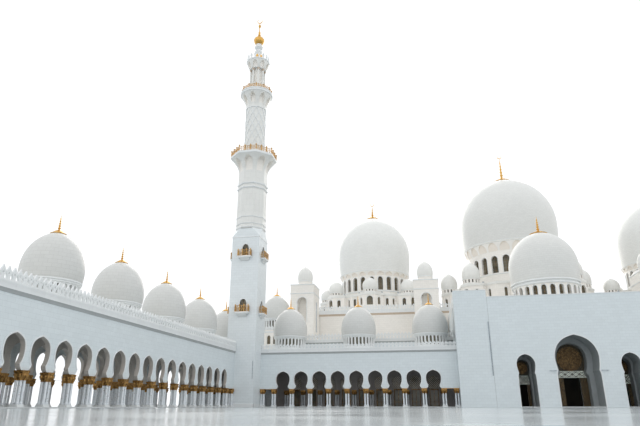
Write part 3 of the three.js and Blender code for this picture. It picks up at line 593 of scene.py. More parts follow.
def clipped(outline, p, direction):
    """Stretches of a line that lie inside an outline."""
    hits = []
    for a, b in zip(outline, outline[1:] + outline[:1]):
        ex, ez = b[0] - a[0], b[1] - a[1]
        cross = direction[0] * ez - direction[1] * ex
        if abs(cross) < 1e-9:
            continue
        t = ((a[0] - p[0]) * ez - (a[1] - p[1]) * ex) / cross
        s = ((a[0] - p[0]) * direction[1] - (a[1] - p[1]) * direction[0]) / cross
        if 0 <= s < 1:
            hits.append(t)
    spots = [(p[0] + direction[0] * t, p[1] + direction[1] * t) for t in sorted(hits)]
    return list(zip(spots[::2], spots[1::2]))


def lattice(outline, pitch, width, y, thick, key="bronze", angles=(45, -45)):
    x0, x1, z0, z1 = extent(outline)
    x, z = (x0 + x1) / 2, (z0 + z1) / 2
    lines = int(max(x1 - x0, z1 - z0) / pitch) + 1
    part = []
    for angle in angles:
        c, s = cos(radians(angle)), sin(radians(angle))
        for i in range(-lines, lines + 1):
            for p, q in clipped(outline, (x - s * i * pitch, z + c * i * pitch), (c, s)):
                part += bar(p, q, width, y, thick, key)
    return part


def sweep(profile, x0, x1, key="trim"):
    """Moulding along X with a profile of (y, z)."""
    return tube([[(x, y, z) for y, z in profile] for x in (x0, x1)], key)


def pane(outline, y, key="glass"):
    """Thin plate that closes a window hole."""
    return plate(outline if area(outline) > 0 else outline[::-1], y, y + 0.05, key)


def pane_bars(outline, y, key="bronze"):
    """One upright and some level bars in front of a window's glass."""
    x0, x1, z0, z1 = extent(outline)
    part = []
    for p, q in clipped(outline, ((x0 + x1) / 2, 0), (0, 1)):
        part += bar(p, q, 0.08, y, 0.07, key)
    rows = max(3, int((z1 - z0) / 0.9))
    for i in range(1, rows):
        for p, q in clipped(outline, (0, z0 + (z1 - z0) * i / rows + 0.001), (1, 0)):
            part += bar(p, q, 0.06, y, 0.07, key)
    return part


def ring_wall(r, z0, z1, n, hole, depth, key="warm", back="glass"):
    """Round wall with one arched recess in each of its n fields."""
    half, edge = r * pi / n, 4
    low = [(-half + 2 * half * i / edge, z0) for i in range(edge + 1)]
    high = [(-s, z1) for s, z in low]
    loops, plain, triangles = triangulated(low + high, [hole])

    def spots(line, rr):
        return [(rr * sin(s / r), -rr * cos(s / r), z) for s, z in line]

    count = len(loops[1])
    far = spots(loops[1], r - depth)
    field = [(spots(plain, r), triangles, key), (spots(loops[1], r) + far, strip(count, 0, count), key),
             (far, [tuple(range(count))[::-1]], back)]
    return around(field, n)


def flared_ring(n, radius, inner, heights, niche, key="trim", back="warm", flat=False, rows=7):
    """Flaring ring with a pointed niche cut in each of its n fields.

    radius and inner are the ring's and the niches' radii as terms (size, power) of the climb from 0 to 1;
    heights are the ring's foot, the niches' spring and tip and the ring's top; niche is the share of a
    field that the niche takes up.
    back is the material of the niches' hollows; by default the warm marble paints warm reflected light in
    their shade.
    """
    z0, spring, tip, z1 = heights
    levels = [z0 + (spring - z0) * i / rows for i in range(rows)]
    levels += [spring + (tip - spring) * i / 6 for i in range(7)]
    levels += [tip + (z1 - tip) * i / 2 for i in (1, 2)]
    step = pi / n
    points = []
    for z in levels:
        t = (z - z0) / (z1 - z0)
        outer, deep = (sum(size * t ** power for size, power in terms) for terms in (radius, inner))
        deep = outer if z >= tip else min(deep, outer - 0.01)
        climb = min(1.0, max(0.0, (z - spring) / (tip - spring)))
        share = niche * (1 - climb ** 1.7) ** 0.8
        half = [(1.0, outer), (share, outer), (share, deep), (share * 0.5, deep)]
        for across, r in [(-a, r) for a, r in half] + half[::-1]:
            turn = across * step
            points.append((across * r * tan(step), -r, z) if flat else (r * sin(turn), -r * cos(turn), z))
    faces, hollow = [], []
    for i, z in enumerate(levels[:-1]):
        for k in range(7):
            a = i * 8 + k
            kind = hollow if 0 < k < 6 and z < tip else faces
            kind.append((a, a + 1, a + 9, a + 8))
    return around([(points, faces, key), (points, hollow, back)], n)


def wall_face(half, z0, z1, holes, y, depth, key="marble", back="glass", edge="trim", bars=True):
    """One outside face of a hollow block, with arched windows set back in it."""
    loops, flat, triangles = triangulated(rectangle(half, z0, z1), holes)
    part = [([(x, y, z) for x, z in flat], triangles, key)]
    for loop in loops[1:]:
        points = [(x, yy, z) for yy in (y, y + depth) for x, z in loop]
        part.append((points, strip(len(loop), 0, len(loop)), edge))
        part += pane(loop, y + depth - 0.02, back)
        if bars:
            part += pane_bars(loop, y + depth - 0.1)
    return part


def caps(x, y, z0, z1, key="roof"):
    """Level top and bottom of a block."""
    return [([(a, b, z) for a, b in rectangle(x, -y, y)], [face], key)
            for z, face in ((z1, (0, 1, 2, 3)), (z0, (3, 2, 1, 0)))]


def ring_hole(x, y, r, count=32, start=0.0):
    return [(x + r * cos(turn), y + r * sin(turn)) for turn in turns(count, start)]


def tube_line(line, r, sides=6, key="trim"):
    """Round bead along a line of points on a wall."""
    loops = []
    for i, p in enumerate(line):
        a, b = Vector(line[max(0, i - 1)]), Vector(line[min(len(line) - 1, i + 1)])
        out = Vector((p[0], p[1], 0)).normalized()
        side = (b - a).normalized().cross(out).normalized()
        loops.append([tuple(Vector(p) + out * (r * cos(turn)) + side * (r * sin(turn)))
                      for turn in turns(sides)])
    return tube(loops, key)


def rib(r, z0, z1, start, wind, width, height, steps=26):
    """Raised rib that winds round a shaft."""
    across = ((-1 / 2, r - 0.02), (-1 / 3, r + height), (1 / 3, r + height), (1 / 2, r - 0.02))
    loops = []
    for t in (i / steps for i in range(steps + 1)):
        spots = [(start + wind * t + aside * width / r, rr) for aside, rr in across]
        loops.append([(rr * cos(turn), rr * sin(turn), z0 + (z1 - z0) * t) for turn, rr in spots])
    return tube(loops, "trim")


# Ornaments


def merlon(foot, height):
    """Pointed battlement pierced by an oval."""
    half = MERLON_PITCH / 2
    side = [(1, 0.0), (1, 0.07), (0.62, 0.12), (0.5, 0.2), (0.62, 0.36), (0.97, 0.52), (0.92, 0.6),
            (0.5, 0.76), (0.16, 0.9), (0.0, 1.0)]
    outline = mirrored([(half * wide, foot + tall * height) for wide, tall in side], way=-1)
    oval = [(0.12 * cos(a), foot + height * (0.5 + 0.1 * sin(a))) for a in turns(8)]
    return panel(outline, [oval], 0.0, MERLON_THICK, "trim")


def merlons(x0, x1, y, foot, height):
    count = max(1, round((x1 - x0) / MERLON_PITCH))
    pitch = (x1 - x0) / count
    one = merlon(foot, height)
    return [piece for i in range(count) for piece in placed(one, x0 + pitch * (i + 0.5), y)]


def cornice(x0, x1, y, foot, top, under="shade"):
    """Cornice on a wall facing -Y: a cove under a flat fascia with a small lip."""
    height = top - foot
    cove = foot + height * 0.36
    face = y - CORNICE_OUT
    edge = face - 0.02
    fascia = [(y + 0.1, cove - 0.02), (face, cove - 0.02), (face, top - height * 0.14),
              (edge, top - height * 0.1), (edge, top), (y + 0.1, top)]
    soffit = [(y + 0.05, foot), (y - 0.06, foot), (y - CORNICE_OUT * 0.4, foot + height * 0.12),
              (face + 0.03, cove - 0.02), (y + 0.05, cove - 0.02)]
    # The soffit takes the under material, a darker marble as painted shade by default.
    return sweep(fascia, x0, x1) + sweep(soffit, x0, x1, under)


def crescent(z, radius, thick):
    outline = []
    for r, middle, degrees in ((radius, z, range(-242, 63, 16)),
                               (radius * 0.85, z + radius * 0.11, range(56, -237, -16))):
        outline += [(r * cos(radians(a)), middle + r * sin(radians(a))) for a in degrees]
    return panel(outline, [], -thick / 2, thick / 2, "gold")


def crown_lift(spec, radius):
    """How far the crown is drawn up to a soft point at this distance from the axis."""
    return spec.lift * spec.rise * max(0.0, 1 - radius / (0.6 * spec.r)) ** 2


def dome_profile(spec, rings=26, shell=0.5):
    """Outer curve up to the top and an inner curve back down, so that the shell is closed."""
    under = (spec.mid - spec.foot) / sqrt(1 - FOOT_SHARE ** 2)
    low = asin((spec.foot - spec.mid) / under)

    def curve(inset, share):
        angle = low + (pi / 2 - low) * share
        height = under if angle < 0 else spec.rise - inset
        return (spec.r - inset) * cos(angle), spec.mid + height * sin(angle)

    outer = [curve(0.0, i / rings) for i in range(rings + 1)]
    outer = [(a, z + crown_lift(spec, a)) for a, z in outer]
    return outer + [curve(shell, 1 - i / 8) for i in range(9)] + [outer[0]]


def finial(spec, skirt, height, moon=0.0):
    """Thin gilded saucer over the crown of a dome, a beaded spire and sometimes a crescent."""
    crown = spec.mid + spec.rise + crown_lift(spec, 0.0)
    rim = spec.mid + spec.rise * sqrt(1 - (skirt / spec.r) ** 2) + crown_lift(spec, skirt)
    saucer = [(0.0, rim, 0.0), (0.9, rim, 0.0), (1.0, rim, 0.13), (0.9, rim, 0.14), (0.5, crown, 0.08),
              (0.25, crown, 0.2), (0.0, crown, 0.22)]
    part = lathe([(skirt * wide, level + skirt * up) for wide, level, up in saucer], 36, "gold", lobes=18,
                 depth=[0, 0.03, 0.03, 0.03, 0.01, 0.0, 0.0])
    foot = crown + 0.08 * skirt
    width = 0.22 * skirt
    bulges = 6
    tall = height * 0.86 / bulges
    rings = [(0.0, foot)]
    for i in range(bulges):
        swell = width * (1 - 0.75 * i / bulges)
        rings += [(swell * wide, foot + tall * (i + up))
                  for wide, up in ((0.6, 0.0), (1.0, 0.28), (1.0, 0.44), (0.55, 0.75))]
    rings += [(width * 0.12, foot + height * 0.9), (width * 0.08, foot + height), (0.0, foot + height)]
    part += lathe(rings, 14, "gold")
    if moon:
        part += crescent(foot + height + moon * 0.92, moon, 0.2 * moon)
    return part


def little_dome(r, foot, top, slits=True):
    """Small pointed dome on a low drum, which has round-headed slits where they show."""
    height = top - foot
    wall_top = foot + height * 0.22
    part = spun([(r * 1.02, foot - 0.3), (r * 1.02, foot + 0.15), (r * 0.93, foot + 0.25)], 32)
    if slits:
        slit = window(r * 0.075, foot + 0.45, wall_top - 0.15, steps=4)
        # Near-black glass behind the slits paints the shade inside the drum.
        part += ring_wall(r * 0.92, foot + 0.1, wall_top, 14, slit, 0.25, "warm", "dark")
    else:
        part += lathe([(r * 0.92, foot + 0.1), (r * 0.92, wall_top)], 32, "warm")
    part += lathe([(0.0, wall_top - 0.1), (r * 0.96, wall_top - 0.05), (r * 0.99, wall_top + 0.05),
                   (r * 0.93, wall_top + 0.15), (0.0, wall_top + 0.15)], 32, "trim")
    shape = [(0.93, 0.24), (1.0, 0.36), (1.0, 0.5), (0.92, 0.64), (0.74, 0.77), (0.46, 0.88), (0.2, 0.94),
             (0.06, 0.975)]
    curve = spline([(r * wide, foot + height * tall) for wide, tall in shape], 3)
    return part + lathe([(0.0, wall_top)] + curve + [(0.0, top)], 32, "roof")


# Objects


def linked(name, data):
    """New object in the scene."""
    item = bpy.data.objects.new(name, data)
    bpy.context.scene.collection.objects.link(item)
    return item


def stand(name, mesh, at, replaces=()):
    """Puts a mesh in its place as an object of the model."""
    piece = linked(name, mesh)
    piece.location = (at[0] * U, at[1] * U, at[2] * U if len(at) > 2 else 0)
    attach(piece, "root")
    if replaces:
        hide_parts(*replaces)
    return piece


def make(name, part, replaces=(), at=(0.0, 0.0), own=None, smooth=35.0):
    """One mesh object in the model's metres out of a part, riding on the one body."""
    keys = list(dict.fromkeys(key for _, _, key in part))
    points, faces, index = [], [], []
    for part_points, part_faces, key in part:
        base = len(points)
        points.extend((x * U, y * U, z * U) for x, y, z in part_points)
        faces.extend(tuple(i + base for i in face) for face in part_faces)
        index.extend([keys.index(key)] * len(part_faces))
    mesh = bpy.data.meshes.new(name)
    mesh.from_pydata(points, [], faces)
    for key in keys:
        mesh.materials.append(own if key == "own" else MAT[key])
    mesh.polygons.foreach_set("material_index", index)
    work = bmesh.new()
    work.from_mesh(mesh)
    bmesh.ops.remove_doubles(work, verts=work.verts, dist=1e-6)
    bmesh.ops.recalc_face_normals(work, faces=work.faces)
    loose = [v for v in work.verts if not v.link_faces]
    bmesh.ops.delete(work, geom=loose, context="VERTS")
    work.to_mesh(mesh)
    work.free()
    mesh.polygons.foreach_set("use_smooth", [True] * len(mesh.polygons))
    mesh.set_sharp_from_angle(angle=radians(smooth))
    return stand(name, mesh, at, replaces)


# Arcades


def column():
    shaft = [(0.26, 0.42), (0.27, 0.47), (0.21, 0.5), (0.24, 0.56), (0.19, 0.62), (0.165, 0.64), (0.16, 3.0)]
    palm = [(0.0, 2.9), (0.2, 2.9), (0.21, 2.97), (0.18, 3.02), (0.23, 3.14), (0.31, 3.32), (0.36, 3.48),
            (0.34, 3.56), (0.3, 3.6), (0.0, 3.62)]
    leaves = [0, 0, 0, 0.05, 0.1, 0.12, 0.12, 0.12, 0.04, 0]
    return spun(shaft, 12, "shaft") + lathe(palm, 16, "capital", lobes=8, depth=leaves)


COLUMN = column()


def clusters(xs, y):
    """Row of supports: four columns each, on a stepped base under one gilded block."""
    part = []
    for x in xs:
        part += post_box(x, y, 0.54, FLOOR_TOP - 0.01, 0.33) + post_box(x, y, 0.49, 0.32, 0.43)
        part += post_box(x, y, 0.52, 3.58, 3.7, "capital") + post_box(x, y, 0.57, 3.7, CAPITAL_TOP, "capital")
        for i, j in ((-1, -1), (-1, 1), (1, -1), (1, 1)):
            part += placed(COLUMN, x + 0.28 * i, y + 0.28 * j)
    return part


def comb(x0, x1, foot, top, side, centres, per=4):
    """Outline of a wall from x0 to x1 with arches cut up into it from its foot."""
    arches = [p for centre in centres for p in arch_line(side, centre, per)]
    return [(x0, foot)] + arches + [(x1, foot), (x1, top), (x0, top)]


def arch_wall(x0, x1, centres, y, merlon_height):
    """Arched wall that looks to -Y, with mouldings round its arches, a cornice and battlements."""
    outline = comb(x0, x1, CAPITAL_TOP, ARCADE_TOP, ARCH_SIDE, centres)
    # The arch soffits take the darker arch marble as painted shade.
    part = panel(outline, [], y, y + ARCH_WALL, "marble", "arch", 8.0)
    for centre in centres:
        part += band(arch_line(ARCH_SIDE, centre)[5:-5], y, 0.16, 0.05)
    part += cornice(x0, x1, y, 11.72, ARCADE_TOP + 0.03)
    return part + merlons(x0, x1, y - 0.25, ARCADE_TOP + 0.02, merlon_height)


def arcade_door(centre, y):
    """Moulding, glass, latticed head and bronze frame of one keyhole doorway."""
    line = arch_line(DOOR_SIDE, centre, 3)
    head = [p for p in line if p[1] > DOOR_HEAD]
    part = band(line, y, 0.22, 0.07, "reveal") + pane(line, y + 0.5, "glass")
    part += pane(head, y + 0.44, "roof") + lattice(head, 0.34, 0.07, y + 0.36, 0.08)
    part += bar((centre - 1.2, DOOR_HEAD), (centre + 1.2, DOOR_HEAD), 0.3, y + 0.3, 0.2)
    for aside, width in ((-0.98, 0.16), (0.0, 0.12), (0.98, 0.16)):
        part += bar((centre + aside, 0.2), (centre + aside, 4.0), width, y + 0.38, 0.1)
    return part + bar((centre - 1.0, 1.2), (centre + 1.0, 1.2), 0.1, y + 0.4, 0.08)


def back_wall(x0, x1, centres, y):
    """Wall behind a front arcade: keyhole doorways, then the storey above."""
    part = [piece for centre in centres for piece in arcade_door(centre, y)]
    outline = comb(x0, x1, DOOR_FOOT, ROOF_FOOT, DOOR_SIDE, centres, 3)
    part += panel(outline, [], y, y + BACK_WALL, "reveal")
    part += box(x0, x1, y, y + BACK_WALL, ROOF_FOOT, BLOCK_TOP)
    part += cornice(x0, x1, y, BLOCK_TOP - 0.9, BLOCK_TOP)
    return part + merlons(x0, x1, y - 0.22, BLOCK_TOP - 0.02, 1.75)


def arcade_dome():
    """Dome of an arcade bay on its drum with slit windows, round the axis."""
    plinth = [(4.2, 12.8), (4.2, 13.1), (4.0, 13.2), (3.9, 13.6)]
    rings = [(3.85, 15.85), (4.02, 15.92), (4.02, 16.03), (3.92, 16.07), (4.1, 16.17), (4.1, 16.32),
             (3.96, 16.38)]
    slit = window(0.27, 13.65, 15.7, steps=4)
    part = hoop(3.5, plinth, 54) + ring_wall(ARCADE_DOME.drum, 13.5, 15.9, 27, slit, 0.4, "trim", "glass")
    part += hoop(3.5, rings, 54) + lathe(dome_profile(ARCADE_DOME, 22, 0.4), 56, "own")
    return part + finial(ARCADE_DOME, 1.1, 2.4)


ARCADE_DOMES = []


def put_arcade_dome(name, x, y, lift=0.0):
    """All arcade domes share one mesh."""
    if ARCADE_DOMES:
        stand(name, ARCADE_DOMES[0].data, (x, y, lift))
    else:
        ARCADE_DOMES.append(make(name, arcade_dome(), at=(x, y), own=ARCADE_DOME_MAT))


def front_arcade(side, label):
    centre, half = side * FRONT_CENTRE, FRONT_HALF
    centres = [BAY * (i - 4) for i in range(9)]
    row = [BAY * (i - 4.5) for i in range(10)]
    wall = arch_wall(-half, half, centres, 0.0, 1.2)
    make(f"{label}_arcade_wall", placed(wall, centre), [f"{label}_front_arcade_wall"])
    columns = slab(rectangle(half, -FLOOR_OUT, BLOCK_BACK), [], 0.0, FLOOR_TOP, "floor", "floor")
    columns += clusters(row + [0.6 - half, half - 0.6], FRONT_ROW) + clusters(row, BACK_ROW)
    for x0, x1 in ((-half, row[0]), (row[-1], half)):
        columns += box(x0, x1, 0.02, 0.58, 3.85, CAPITAL_TOP, "capital")
    make(f"{label}_arcade_columns", placed(columns, centre), [f"{label}_front_arcade_columns"])
    back = placed(back_wall(-half, half, centres, DEPTH), centre)
    make(f"{label}_arcade_back_wall_dressed", back, [f"{label}_arcade_back_wall"])
    domes = [-4 * BAY, 0.0, 4 * BAY]
    roof = slab(rectangle(half, ARCH_WALL + GAP, DEPTH - GAP),
                [ring_hole(x, DOME_LINE, DOME_HOLE) for x in domes], ROOF_FOOT, ARCADE_TOP)
    make(f"{label}_arcade_roof", placed(roof, centre), [f"{label}_front_arcade_roof"])
    for number, x in enumerate(domes):
        put_arcade_dome(f"{label}_arcade_dome_{number + 1}", centre + x, DOME_LINE)

    front = DEPTH + BACK_WALL + GAP
    block = slab(rectangle(half - 0.02, front, BLOCK_BACK - 0.02), [], BLOCK_TOP - 0.6, BLOCK_TOP)
    edge = HALL_HALF - FRONT_CENTRE
    block += box(*span(side, edge, edge - 1.0), front, BLOCK_BACK, WALL_FOOT, BLOCK_TOP + 0.02, "warm")
    block += facing_x(side, lambda a, b, y: merlons(a, b, y, BLOCK_TOP, 1.6), 13.9, 36.2, side * edge)
    make(f"{label}_block_roof", placed(block, centre), [f"{label}_block_roof_and_side"])


def make_side(name, part):
    """A piece of the side arcade, from its own direction to its place along the courtyard."""
    make(name, placed(part, SIDE_FACE, turn=pi / 2), [name.replace("side_", "side_arcade_")])


def side_walls(outer):
    end, back = DEPTH + 1.0, DEPTH - ARCH_WALL - GAP

    def row(x0, x1, y):
        return merlons(x0, x1, y, ARCADE_TOP - 0.02, 1.6)

    make_side("side_inner_wall", arch_wall(SIDE_START, SIDE_END, outer[:16], 0.0, 1.6))
    away = arch_wall(-end, -SIDE_START, [-c for c in outer], -DEPTH, 1.6)
    make_side("side_outer_wall", placed(away, turn=pi))
    middle = comb(SIDE_START, SIDE_CORNER, CAPITAL_TOP, ROOF_FOOT, ARCH_SIDE, outer, 3)
    front = SIDE_MIDDLE_ROW - ARCH_WALL / 2
    # The middle wall, seen through the arches, takes the arch marble as painted shade.
    make_side("side_middle_wall", panel(middle, [], front, front + ARCH_WALL, "arch"))
    start = SIDE_START - 1.0
    closing = box(start, SIDE_START - GAP, 0.0, 13.1, 0.0, ARCADE_TOP)
    make_side("side_end_wall", closing + facing_x(-1, row, 0.0, 13.1, start))
    corner = box(DEPTH, end, -4.7, back, 0.0, ARCADE_TOP)
    make_side("side_corner_wall", corner + facing_x(1, row, -4.7, back, end))


def side_plan(front, back):
    start, corner = SIDE_START, SIDE_CORNER
    return [(start, front), (SIDE_END, front)] + SIDE_NOTCH + [(corner, back), (start, back)]


def side_arcade():
    outer = [SIDE_FIRST_ARCH + BAY * i for i in range(20)]
    side_walls(outer)
    row = [c - BAY / 2 for c in outer]
    columns = clusters(row[:17] + [SIDE_END - 0.6], FRONT_ROW)
    for y in (SIDE_MIDDLE_ROW, SIDE_OUTER_ROW):
        columns += clusters(row + [outer[-1] + BAY / 2], y)
    columns += slab(side_plan(-FLOOR_OUT, DEPTH), [], 0.0, FLOOR_TOP, "floor", "floor")
    make_side("side_columns", columns)
    roof = slab(side_plan(ARCH_WALL + GAP, DEPTH - ARCH_WALL - GAP),
                [ring_hole(x, SIDE_DOME_LINE, DOME_HOLE) for x in SIDE_DOMES], ROOF_FOOT, ARCADE_TOP)
    make_side("side_roof", roof)
    for number, y in enumerate(SIDE_DOMES):
        put_arcade_dome(f"side_dome_{number + 1}", SIDE_FACE - SIDE_DOME_LINE, y)


# Minarets


def fence(x0, x1, y, z0, z1, posts=0.55):
    """Pierced railing along X: rails, posts and crossed bars."""
    low, high, middle = z0 + 0.08, z1 - 0.1, (z0 + z1) / 2
    part = box(x0, x1, y, y + 0.09, high, z1, "rail") + box(x0, x1, y, y + 0.09, z0, low, "rail")
    count = max(1, round((x1 - x0) / posts))
    pitch = (x1 - x0) / count
    for i in range(count + 1):
        x = x0 + pitch * i
        part += box(x - 0.035, x + 0.035, y + 0.005, y + 0.085, z0, z1, "rail")
        if i < count:
            for a, b in ((low, high), (high, low), (middle, middle)):
                part += bar((x, a), (x + pitch, b), 0.05, y + 0.03, 0.04, "rail")
    return part


def rail_post(foot, top, r=0.13):
    """Turned post with a pointed knob, on the axis."""
    shape = [(0.0, 0.0), (1.0, 0.0), (0.82, 0.72), (1.45, 0.78), (1.1, 0.9), (0.0, 1.0)]
    return lathe([(r * wide, foot + (top - foot) * up) for wide, up in shape], 8, "rail")


def balcony(floor):
    """Balcony on a shaft's face: small corbel, slab, railing with posts."""
    y = -SHAFT_HALF
    half, out = 1.62, 0.95
    foot, top = floor + 0.5, floor + 1.95
    part = box(-1.65, 1.65, y - 1.0, y + 0.02, floor + 0.2, foot, "trim")
    part += box(-1.56, 1.56, y - 0.92, y + 0.02, floor + 0.02, floor + 0.2, "trim")
    corbel = [(0.02, -0.6), (-0.1, -0.58), (-0.42, -0.3), (-0.7, 0.02), (0.02, 0.02)]
    part += sweep([(y + a, floor + b) for a, b in corbel], -1.1, 1.1)
    part += fence(-half, half, y - 0.99, foot, top)
    one = rail_post(foot, floor + 2.3)
    for x in (-half + 0.06, -0.54, 0.54, half - 0.06):
        part += placed(one, x, y - out + 0.08)
    side = fence(-out, 0.0, 0.0, foot, top)
    return part + placed(side, -half, y, turn=pi / 2) + placed(side, half, y, turn=pi / 2)


def square_shaft():
    y = -SHAFT_HALF
    holes = [window(0.8, floor + 0.5, floor + 3.6, point=1.2) for floor in BALCONY_FLOORS]
    wall = wall_face(SHAFT_HALF, 0.0, SQUARE_TOP, holes, y, 0.4, "tower")
    for hole, floor in zip(holes, BALCONY_FLOORS):
        wall += band(hole[2:][::-1], y, 0.2, 0.1) + balcony(floor)
    plinth = [(y - 0.07, 0.0), (y - 0.07, 0.7), (y, 0.78), (y + 0.03, 0.78), (y + 0.03, 0.0)]
    wall += sweep(plinth, y - 0.07, 0.07 - y)
    edge = [(y - 0.08, 39.5), (y - 0.08, 39.6), (y + 0.03, 39.69), (y + 0.03, 39.4)]
    wall += sweep(edge, y - 0.08, 0.08 - y)
    shaft = around(wall, 4) + caps(SHAFT_HALF - 0.01, SHAFT_HALF - 0.01, 0.0, SQUARE_TOP - 0.01, "marble")
    return shaft + box(2.93, 3.02, y - 0.07, y + 0.01, 6.0, 10.0, "steel")


def broach():
    """Slanted corners between the square and the eight-sided stage."""
    side, cut, top = SHAFT_HALF, 1.42, 41.9
    low = rectangle(side, -side, side)
    high = [(-side, -cut), (-cut, -side), (cut, -side), (side, -cut), (side, cut), (cut, side), (-cut, side),
            (-side, cut)]
    points = [(x, y, SQUARE_TOP) for x, y in low] + [(x, y, top) for x, y in high]
    faces = [(0, 5, 4), (1, 7, 6), (2, 9, 8), (3, 11, 10), (0, 1, 6, 5), (1, 2, 8, 7), (2, 3, 10, 9),
             (3, 0, 4, 11), (3, 2, 1, 0), (4, 5, 6, 7, 8, 9, 10, 11)]
    return [(points, faces, "tower")]


def ring_moulding(z, height, out):
    """Thin band round the eight-sided stage."""
    inner, outer = SHAFT_HALF - 0.1, SHAFT_HALF + out
    return octagon([(inner, z - height), (outer - out * 0.3, z - height * 0.6), (outer, z),
                    (outer, z + height * 0.6), (inner, z + height), (inner, z - height)], "trim")


def gallery(foot, r):
    """Slab and railing of the lower gallery."""
    floor = foot + 0.75
    part = octagon([(0.0, foot), (r - 0.1, foot), (r, foot + 0.12), (r, foot + 0.4), (r - 0.1, foot + 0.5),
                    (r - 0.1, floor), (0.0, foot + 0.8)], "trim")
    width = (r - 0.2) * tan(pi / 8)
    side = fence(-width, width, 0.16 - r, floor, floor + 1.25, 0.6)
    one = rail_post(floor, floor + 1.75, 0.15)
    for along in (-width / 3, width / 3, width):
        side += placed(one, along, 0.2 - r)
    return part + around(side, 8)


def octagon_stage():
    r = SHAFT_HALF
    part = broach() + octagon([(0.0, 41.8), (r, 41.8), (r, 57.6), (0.0, 57.6)], "roof")
    for z, height, out in ((42.2, 0.16, 0.15), (43.2, 0.16, 0.15), (45.0, 0.16, 0.15), (52.85, 0.24, 0.28),
                           (54.0, 0.24, 0.28)):
        part += ring_moulding(z, height, out)
    for along in (-0.68, 0.68):
        part += around(panel(window(0.3, 46.3, 51.6, along, point=1.0), [], -r - 0.04, 0.02 - r, "roof"), 8)
    part += flared_ring(8, [(r, 0), (2.15, 1.9)], [(r, 0), (0.5, 2.2)], (57.4, 59.9, 61.25, 61.55), 0.6,
                        "roof", flat=True, rows=9)
    return part + gallery(61.5, 5.66)


def round_stage():
    """Round shaft with crossing ribs, and the upper gallery on its flared ring of niches."""
    r = ROUND_R
    wide = r + 0.08
    part = lathe([(wide, 62.2), (wide, 63.6), (r, 63.7), (r, 76.6), (wide, 76.7), (wide, 78.0)], 40, "roof")
    for way in (1, -1):
        for start in turns(10):
            part += rib(r, 63.8, 76.6, start, way * 2 * pi * 0.4, 0.24, 0.13)
    for z in (63.75, 76.6):
        part += hoop(r - 0.1, [(r + 0.18, z - 0.08), (r + 0.18, z + 0.08)], 40)
    part += flared_ring(8, [(r + 0.06, 0), (1.6, 1.7)], [(r + 0.05, 0), (0.3, 1.9)],
                        (77.0, 79.3, 80.6, 80.9), 0.55, "roof", rows=8)
    edge = [(0.0, 80.85), (4.28, 80.85), (4.38, 80.95), (4.38, 81.2), (4.2, 81.3), (4.2, 81.5), (4.32, 81.58),
            (4.32, 81.8), (0.0, 81.85)]
    part += lathe(edge, 48, "trim")
    side = fence(-1.05, 1.05, -3.98, 81.8, 82.85, 0.5) + placed(rail_post(81.8, 83.2), 1.05, -3.92)
    return part + around(side, 12)


def lantern_column():
    shaft = [(0.34, 82.2), (0.34, 82.4), (0.27, 82.5), (0.25, 88.75)]
    head = [(0.0, 88.7), (0.27, 88.7), (0.29, 88.8), (0.26, 88.9), (0.38, 89.3), (0.0, 89.32)]
    # The heads take the warm brown marble of painted shade under the crown.
    return spun(shaft, 12, "roof") + lathe(head, 16, "brown", lobes=8, depth=[0, 0, 0, 0.05, 0.12, 0])


def lantern_stage():
    """Columns round a core, the crown of niches and merlons over them, and the neck."""
    part = spun([(2.3, 81.8), (2.3, 82.15), (2.15, 82.25)], 32)
    part += spun([(1.45, 82.2), (1.45, 89.8)], 24, "warm")
    part += around(placed(lantern_column(), 1.9, 0.0), 8, pi / 8)
    part += hoop(1.4, [(2.2, 89.28), (2.28, 89.4), (2.2, 89.52)], 32)
    part += flared_ring(8, [(2.24, 0), (0.94, 0.8)], [(2.1, 0), (0.5, 1)], (89.5, 90.3, 91.4, 91.7), 0.62,
                        "roof", rows=6)
    rim = [(0.0, 91.65), (3.18, 91.65), (3.26, 91.75), (3.26, 91.95), (2.9, 92.05), (2.5, 92.3), (0.0, 92.4)]
    part += lathe(rim, 32, "trim")
    spike = [([(x * 0.8, y - 3.1, z) for x, y, z in points], faces, key)
             for points, faces, key in merlon(91.9, 1.9)]
    part += around(spike, 16)
    neck = [(1.3, 92.3), (1.15, 92.8), (0.95, 93.3), (0.95, 94.5), (0.7, 94.9), (0.95, 95.3), (1.07, 95.65),
            (0.85, 96.0), (0.55, 96.3), (0.6, 96.55), (1.1, 96.9), (1.2, 97.2), (0.95, 97.5), (0.85, 98.2)]
    part += spun(neck, 24)
    collar = [(0.9, 93.35), (1.1, 93.4), (1.02, 93.9), (1.1, 94.4), (0.9, 94.45), (0.9, 93.35)]
    return part + lathe(collar, 24, "gold", lobes=12, depth=[0, 0.05, 0.05, 0.05, 0, 0])


def gold_top():
    onion = [(0.0, 98.15), (0.9, 98.15), (1.05, 98.3), (0.9, 98.45), (1.2, 98.7), (1.48, 99.3),
             (1.44, 99.9), (1.05, 100.45), (0.6, 100.75), (0.42, 101.0)]
    rod = [(0.38, 101.2), (0.46, 101.35), (0.33, 101.5), (0.28, 102.1), (0.36, 102.3), (0.2, 102.5),
           (0.13, 103.2), (0.12, 104.0), (0.26, 104.2), (0.4, 104.6), (0.26, 105.0), (0.09, 105.15),
           (0.07, 105.6), (0.0, 105.6)]
    ribs = [0, 0, 0, 0, 0.02, 0.03, 0.03, 0.02, 0, 0] + [0] * len(rod)
    return lathe(onion + rod, 24, "gold", lobes=12, depth=ribs) + crescent(106.32, 0.76, 0.14)


def minaret(side, label):
    for name, part, slot, node in (
            ("square_shaft", square_shaft(), "marble", "square_shaft"),
            ("upper_shaft", octagon_stage() + round_stage() + lantern_stage(), "marble", "upper_shaft"),
            ("gold_top", gold_top(), "gilded_metal", "finial")):
        part = placed(part, side * MINARET_X, MINARET_Y)
        make(f"{label}_{name}", part, [f"{label}_minaret_{node}"])


# Portal


